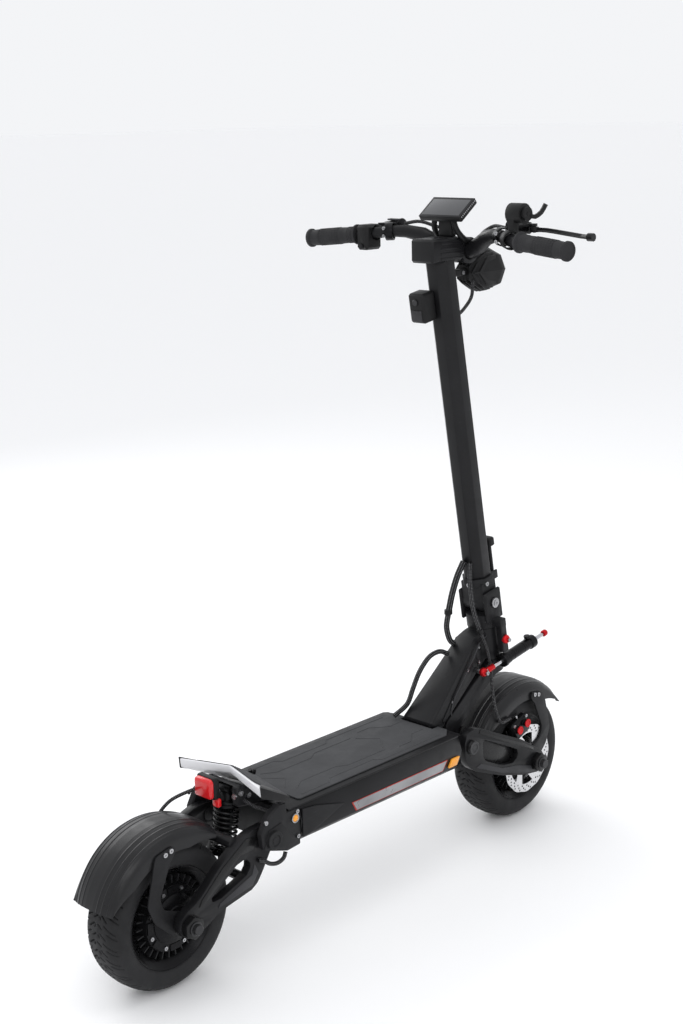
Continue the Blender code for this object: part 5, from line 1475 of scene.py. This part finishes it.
# Painted shade: dark plates set inside the front arm's windows stand for the shadow seen through them.
FRONT_WINDOW_SHADE_PLATE = [(0.733, 0.227), (0.802, 0.194), (0.850, 0.169), (0.838, 0.144), (0.794, 0.150),
                      (0.736, 0.178)]
paint_neck_highlights()
for side_name, side in (("right", -1), ("left", 1)):
    cover = side_panel("window_shade_plate", FRONT_WINDOW_SHADE_PLATE, 0.0655, side, 0.0030, DEEP_BLACK, 0.0005)
    settle(cover, "front_arm")
    cover.name = "front_window_shade_plate_" + side_name
stem_of_hook = hose("stem",
                    [spot(0.250, 0.040, 0.2625), spot(0.250, 0.040, 0.2760), spot(0.2470, 0.040, 0.2840)],
                    0.0036, MOULDED)
prong = hose("prong",
             [spot(0.250, 0.040, 0.2720), spot(0.2500, 0.0330, 0.2780), spot(0.2500, 0.0310, 0.2860)],
             0.0028, MOULDED)
foot_of_hook = rounded_block("foot", (0.0180, 0.0140, 0.0040), spot(0.250, 0.040, 0.2668), MOULDED, None,
                             0.001)
as_one("deck_hook", [stem_of_hook, prong, foot_of_hook], "chassis")

# %% [markdown]
# ## Display and headlight
# The display is a flat tablet with a glass front in a narrow frame. It stands on two curved
# arms. The headlight has a finned body, like a heat sink, and a faceted glass front.


# %% Display
def display_tablet():
    turn = Matrix.Rotation(radians(-36), 3, "Y")
    centre = spot(0.7345, 0, 1.2080)
    body = rounded_block("body", (0.0540, 0.0970, 0.0100), centre + turn @ Vector((0, 0, -0.0010)), MOULDED,
                         turn, 0.003)
    rim = rounded_block("rim", (0.0530, 0.0960, 0.0030), centre + turn @ Vector((0, 0, 0.0042)), GREY_BLACK,
                        turn, 0.001)
    glass = rounded_block("glass", (0.0430, 0.0860, 0.0016), centre + turn @ Vector((-0.001, 0, 0.0054)),
                          SCREEN, turn, 0.0004)
    pieces = [body, rim, glass]
    for side in (-1, 1):
        for k in range(11):
            place = centre + turn @ Vector((-0.0220 + 0.0044 * k, side * 0.0479, 0.0010))
            pieces.append(rounded_block("tooth", (0.0022, 0.0012, 0.0048), place, BARE_ALLOY, turn, 0.0003,
                                        1))
        arm = [spot(0.7330, side * 0.0200, 1.1990), spot(0.7250, side * 0.0230, 1.1860),
               spot(0.7310, side * 0.0260, 1.1700),
               spot(0.7480, side * 0.0270, 1.1560), spot(0.7620, side * 0.0270, 1.1520)]
        pieces.append(hose("arm", arm, 0.0052, MOULDED))
    pieces.append(rounded_block("foot", (0.0160, 0.0300, 0.0380), spot(0.7330, 0, 1.1800), MOULDED, None,
                                0.003))
    return as_one("display_finished", pieces, "stem", "display")


display_tablet()


# %% Headlight
LAMP_BODY = [(0.776, 0.0170), (0.790, 0.0250), (0.814, 0.0375), (0.836, 0.0375)]


def lamp_fin(left):
    """One cooling fin: the body's side view at that distance from the middle, a little larger."""
    upper, lower = [], []
    for ahead, radius in LAMP_BODY:
        reach = (max(radius ** 2 - left ** 2, 0.0) ** 0.5) + 0.0012
        level = 1.0925 + (ahead - 0.776) * 0.03
        upper.append((ahead + REAR_AXLE.x, level + reach))
        lower.append((ahead + REAR_AXLE.x, level - reach))
    outline = upper + list(reversed(lower))
    return plate("fin", [outline], 0.0020, Vector((0, left, 0)), (1, 0, 0), (0, 0, 1), MOULDED, 0.0005)


def headlamp():
    start = spot(0.776, 0, 1.0925)
    end = spot(0.856, 0, 1.0950)
    shell = [(0.0, 0.0002), (0.0, 0.0150), (0.0140, 0.0228), (0.0370, 0.0352), (0.0600, 0.0366),
             (0.0640, 0.0385),
             (0.0740, 0.0378), (0.0790, 0.0355), (0.0790, 0.0325), (0.0740, 0.0310), (0.0740, 0.0002)]
    body = turned("body", start, end, shell, MOULDED, 8)
    lens = [(0.0740, 0.0002), (0.0740, 0.0310), (0.0765, 0.0300), (0.0785, 0.0220), (0.0795, 0.0002)]
    glass = turned("glass", start, end, lens, LAMP_GLASS, 40)
    pieces = [body, glass] + [lamp_fin(0.0068 * k) for k in range(-4, 5)]
    pieces.append(rounded_block("arm", (0.0400, 0.0180, 0.0120), spot(0.7642, 0, 1.094), MOULDED, None,
                                0.002))
    return as_one("headlight_finished", pieces, "stem", "headlight")


headlamp()
screws("lamp_screws",
       [(spot(0.7660, -0.0092, 1.0940), (0, -1, 0)), (spot(0.7660, 0.0092, 1.0940), (0, 1, 0))],
       "stem", 0.0036, 0.0026)

# %% [markdown]
# ## Grips and controls
# Each grip is a rubber sleeve with a flange at its inner end, a swell for the palm and a
# patch of small studs. The studs are set by the same node tree as the hub's ribs.


# %% Flanged grips
def grip(side):
    inner = spot(0.7030 - 0.0018, side * 0.187, 1.1598)
    way = Vector((-0.013, side * 0.113, -0.010)).normalized()
    profile = [(0.0, 0.0125), (0.0, 0.0176), (0.0008, 0.0184), (0.0036, 0.0184), (0.0046, 0.0168),
               (0.0056, 0.0150),
               (0.0080, 0.0146)]
    for k in range(3):
        profile += [(0.0095 + 0.004 * k, 0.0146), (0.0102 + 0.004 * k, 0.0152), (0.0122 + 0.004 * k, 0.0152)]
    for k in range(14):
        along = 0.0225 + 0.0062 * k
        profile.append((along, 0.0146 + 0.0008 * sin(pi * k / 13)))
    profile += [(0.1068, 0.0147), (0.1076, 0.0164), (0.1084, 0.0171), (0.1124, 0.0171), (0.1136, 0.0162),
                (0.1138, 0.0140),
                (0.1128, 0.0130), (0.1128, 0.0002)]
    pieces = [turned("sleeve", inner, inner + way, profile, RUBBER, 56)]
    for k in range(8):
        count = 22 if k % 2 else 21
        ring = rib_ring("studs", inner + way * (0.0420 + 0.0062 * k), way, count, 0.0152,
                        (0.0011, 0.0026, 0.0036), RUBBER)
        pieces.append(ring)
    name = "right" if side < 0 else "left"
    return as_one(f"grip_{name}_finished", pieces, "stem", "grip_" + name)


grip(-1)
grip(1)


# %% Switches, levers' caps and the stem head's fins
def control_trim():
    pieces = []
    for up, width in ((1.1660, 0.0060), (1.1540, 0.0060)):
        pieces.append(rounded_block("key", (0.0030, width, 0.0050), spot(0.6885, 0.1660, up), KEEL, None,
                                    0.0008))
    for side in (-1, 1):
        for k in range(4):
            place = spot(0.7140, side * 0.0262, 1.1245 + 0.0090 * k)
            pieces.append(rounded_block("fin", (0.0580, 0.0012, 0.0042), place, SATIN_BLACK, None, 0.0004, 2))
    for k in range(3):
        place = spot(0.7080 + 0.0130 * k, 0.0, 1.1603)
        pieces.append(rounded_block("rib", (0.0052, 0.0380, 0.0012), place, SATIN_BLACK, None, 0.0004, 2))
    return as_one("control_trim", pieces, "stem")


control_trim()


def on_lock(back, left, along):
    """A point on the lock box in the stem's frame, from the fold pin."""
    return on_stem(back, left, along)


STEM_FACING = stem_turn()
lock_plate = rounded_block("plate", (0.0020, 0.0240, 0.0200), on_lock(-0.0606, 0.016, 0.5780), KEEL,
                           STEM_FACING, 0.0008)
lock_key = turned("key", on_lock(-0.0600, 0.016, 0.6030), on_lock(-0.0640, 0.016, 0.6030),
                  [(0, 0.0058), (0.0020, 0.0058), (0.0028, 0.0048), (0.0028, 0.0002)], DARK_STEEL, 24)
as_one("lock_trim", [lock_plate, lock_key], "stem")


def reservoir_lids():
    """A lid with two screws on each master cylinder, held at the cylinder's own height."""
    lids, places = [], []
    for side, node in ((-1, "brake_perch_right"), (1, "brake_perch_left")):
        ray_from = Vector((spot(0.7510, 0, 0).x, side * 0.1400, 1.30))
        mesh = frame["nodes"][node].data
        surface_tree = BVHTree.FromPolygons([v.co for v in mesh.vertices],
                                            [p.vertices for p in mesh.polygons])
        place = surface_tree.ray_cast(ray_from, Vector((0, 0, -1)))[0]
        top = place.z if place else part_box(node)[1][2]
        lids.append(rounded_block("lid", (0.0130, 0.0300, 0.0030),
                                  Vector((ray_from.x, ray_from.y, top + 0.0004)),
                                  KEEL, None, 0.0009))
        for shift in (-0.0105, 0.0105):
            places.append((Vector((ray_from.x, ray_from.y + shift, top + 0.0014)), (0, 0, 1)))
    as_one("reservoir_lids", lids, "stem")
    screws("reservoir_screws", places, "stem", 0.0026, 0.0020)


reservoir_lids()
screws("clamp_screws",
       [(spot(0.7080, -0.131, 1.1720), (-1, 0, 0)), (spot(0.7080, 0.131, 1.1720), (-1, 0, 0)),
        (spot(0.7080, -0.131, 1.1580), (-1, 0, 0)), (spot(0.7080, 0.131, 1.1580), (-1, 0, 0)),
        (spot(0.7880, -0.0180, 1.1390), (1, 0, 0)), (spot(0.7880, 0.0180, 1.1390), (1, 0, 0)),
        (spot(0.7220, -0.1885, 1.2060), (0, -1, 0))], "stem", 0.0032, 0.0026)

# %% [markdown]
# ## Cables and hoses
# The cables wear a braided sleeve. The ones that cross a joint are made in two lengths: the stem's
# loom goes to a clip on the fork, and from there to the neck, and the front brake hose is split
# between the fork and the front arm. These lengths stay where they are drawn and do not bend with
# the joints. Their routes are listed points, guessed where they are hidden.

# %% Loom of the stem, in two lengths that meet at a clip
def bend(obj, bodies, start, end, *nodes):
    """Smooths a hose, bakes its placement into its mesh and hides the imported nodes named; bodies, start and
    end are not used.
    """
    obj.data.shade_smooth()
    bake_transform(obj)
    if nodes:
        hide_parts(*nodes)
    return obj


SLACK_UP = Vector((0, 0, 0.020))
LOOM_FALL = [spot(0.7800, 0.004, 0.5480), spot(0.7680, 0.010, 0.5200), spot(0.7620, 0.018, 0.4850),
             spot(0.7560, 0.022, 0.4500)]
LOOM_TAIL = [spot(0.7560, 0.022, 0.4500), spot(0.7500, 0.022, 0.4220), spot(0.7560, 0.020, 0.3960),
             spot(0.7640, 0.016, 0.3860)]
upper = hose("stem_loom_upper", LOOM_FALL, 0.0062, SLEEVE, sides=16)
bend(upper, ("stem", "fork"), LOOM_FALL[0] - SLACK_UP, LOOM_FALL[-1] + SLACK_UP / 2, "stem_loom")
lower = hose("stem_loom_lower", LOOM_TAIL, 0.0055, SLEEVE, sides=16)
bend(lower, ("fork", "chassis"), LOOM_TAIL[0], LOOM_TAIL[-1])
NECK_FALL = [
    spot(0.7440, 0.014, 0.3712), spot(0.7240, 0.018, 0.3800), spot(0.7000, 0.023, 0.3740),
             spot(0.6780, 0.028, 0.3500),
    spot(0.6620, 0.031, 0.3200), spot(0.6510, 0.032, 0.2980), spot(0.6440, 0.0370, 0.2860),
             spot(0.6240, 0.0460, 0.2715),
]
settle(hose("neck_loom_sleeved", NECK_FALL, 0.0047, SLEEVE, sides=16), "chassis", "neck_loom")

# %% Front brake hose and the branch beside it
HOSE_FALL = [
    spot(0.7820, -0.010, 0.5460), spot(0.7720, -0.018, 0.5100), spot(0.7720, -0.026, 0.4600),
    spot(0.7840, -0.033, 0.4150),
]
HOSE_TAIL = [
    spot(0.7840, -0.033, 0.4150), spot(0.8000, -0.0345, 0.3800), spot(0.8110, -0.0345, 0.3450),
    spot(0.8120, -0.0380, 0.3150), spot(0.8040, -0.0480, 0.2850), spot(0.8000, -0.0590, 0.2550),
    spot(0.8140, -0.0600, 0.2300), spot(0.8440, -0.0590, 0.2290),
]
fall = hose("front_hose_upper", HOSE_FALL, 0.0042, SLEEVE, sides=14)
bend(fall, ("stem", "fork"), HOSE_FALL[0] - SLACK_UP, HOSE_FALL[-1] + SLACK_UP / 2, "front_brake_hose")
tail = hose("front_hose_lower", HOSE_TAIL, 0.0032, SLEEVE, sides=14)
bend(tail, ("fork", "front_arm"), HOSE_TAIL[3], HOSE_TAIL[-1])
clip = turned("clip", spot(0.7560, 0.0225, 0.4540), spot(0.7560, 0.0225, 0.4460),
              [(0, 0.0064), (0, 0.0078), (0.0080, 0.0078), (0.0080, 0.0064)], MOULDED, 24)
clip_two = turned("clip", spot(0.7820, -0.0325, 0.4200), spot(0.7860, -0.0330, 0.4110),
                  [(0, 0.0044), (0, 0.0058), (0.0090, 0.0058), (0.0090, 0.0044)], MOULDED, 24)
as_one("loom_clips", [clip, clip_two], "fork")

# %% Hoses at the rear
MOTOR_LOOP = [
    spot(0.2060, -0.0860, 0.1850), spot(0.2000, -0.0870, 0.1760), spot(0.1860, -0.0870, 0.1720),
    spot(0.1700, -0.0860, 0.1760), spot(0.1580, -0.0840, 0.1850), spot(0.1480, -0.0815, 0.1880),
]
loop = hose("rear_motor_cable_sleeved", MOTOR_LOOP, 0.0036, SLEEVE, sides=14)
bend(loop, ("chassis", "rear_arm"), MOTOR_LOOP[1], MOTOR_LOOP[-1], "rear_motor_cable")
brake_run = [spot(0.1180, 0.014, 0.3020), spot(0.0920, 0.024, 0.2980), spot(0.0650, 0.036, 0.2880),
             spot(0.0480, 0.046, 0.2680), spot(0.0430, 0.056, 0.2440), spot(0.0470, 0.0600, 0.2240)]
run = hose("rear_brake_hose", brake_run, 0.0030, SLEEVE, sides=14)
bend(run, ("chassis", "rear_arm"), brake_run[1], brake_run[-2])
lamp_lead = [spot(0.1600, -0.0385, 0.2790), spot(0.1680, -0.0520, 0.2700), spot(0.1820, -0.0680, 0.2620),
             spot(0.1960, -0.0860, 0.2530)]
settle(hose("tail_lamp_lead", lamp_lead, 0.0030, SLEEVE, sides=14), "chassis")

# %% Hoses at the handlebar
BAR_RUNS = {
    "left_hose": [spot(0.7500, 0.1150, 1.1790), spot(0.7560, 0.0860, 1.1830), spot(0.7620, 0.0560, 1.1760),
                  spot(0.7700, 0.0300, 1.1660), spot(0.7940, 0.0120, 1.1350), spot(0.7960, 0.0060, 1.1180)],
    "right_hose": [spot(0.7500, -0.1150, 1.1790), spot(0.7600, -0.0860, 1.1800),
                   spot(0.7720, -0.0560, 1.1700),
                   spot(0.7900, -0.0300, 1.1580), spot(0.7980, -0.0140, 1.1340),
                   spot(0.7960, -0.0080, 1.1180)],
    "display_lead": [spot(0.7420, 0.0300, 1.1900), spot(0.7600, 0.0340, 1.1820), spot(0.7800, 0.0240, 1.1680),
                     spot(0.7900, 0.0120, 1.1500)],
    "stem_entry": [spot(0.7860, -0.0140, 1.0780), spot(0.7820, -0.0150, 1.0500),
                   spot(0.7640, -0.0110, 1.0280),
                   spot(0.7480, -0.0060, 1.0160)],
}
for run_name, corners in BAR_RUNS.items():
    settle(hose(run_name, corners, 0.0032, SLEEVE, sides=14), "stem")
print("hoses and looms:", len(BAR_RUNS) + 8)
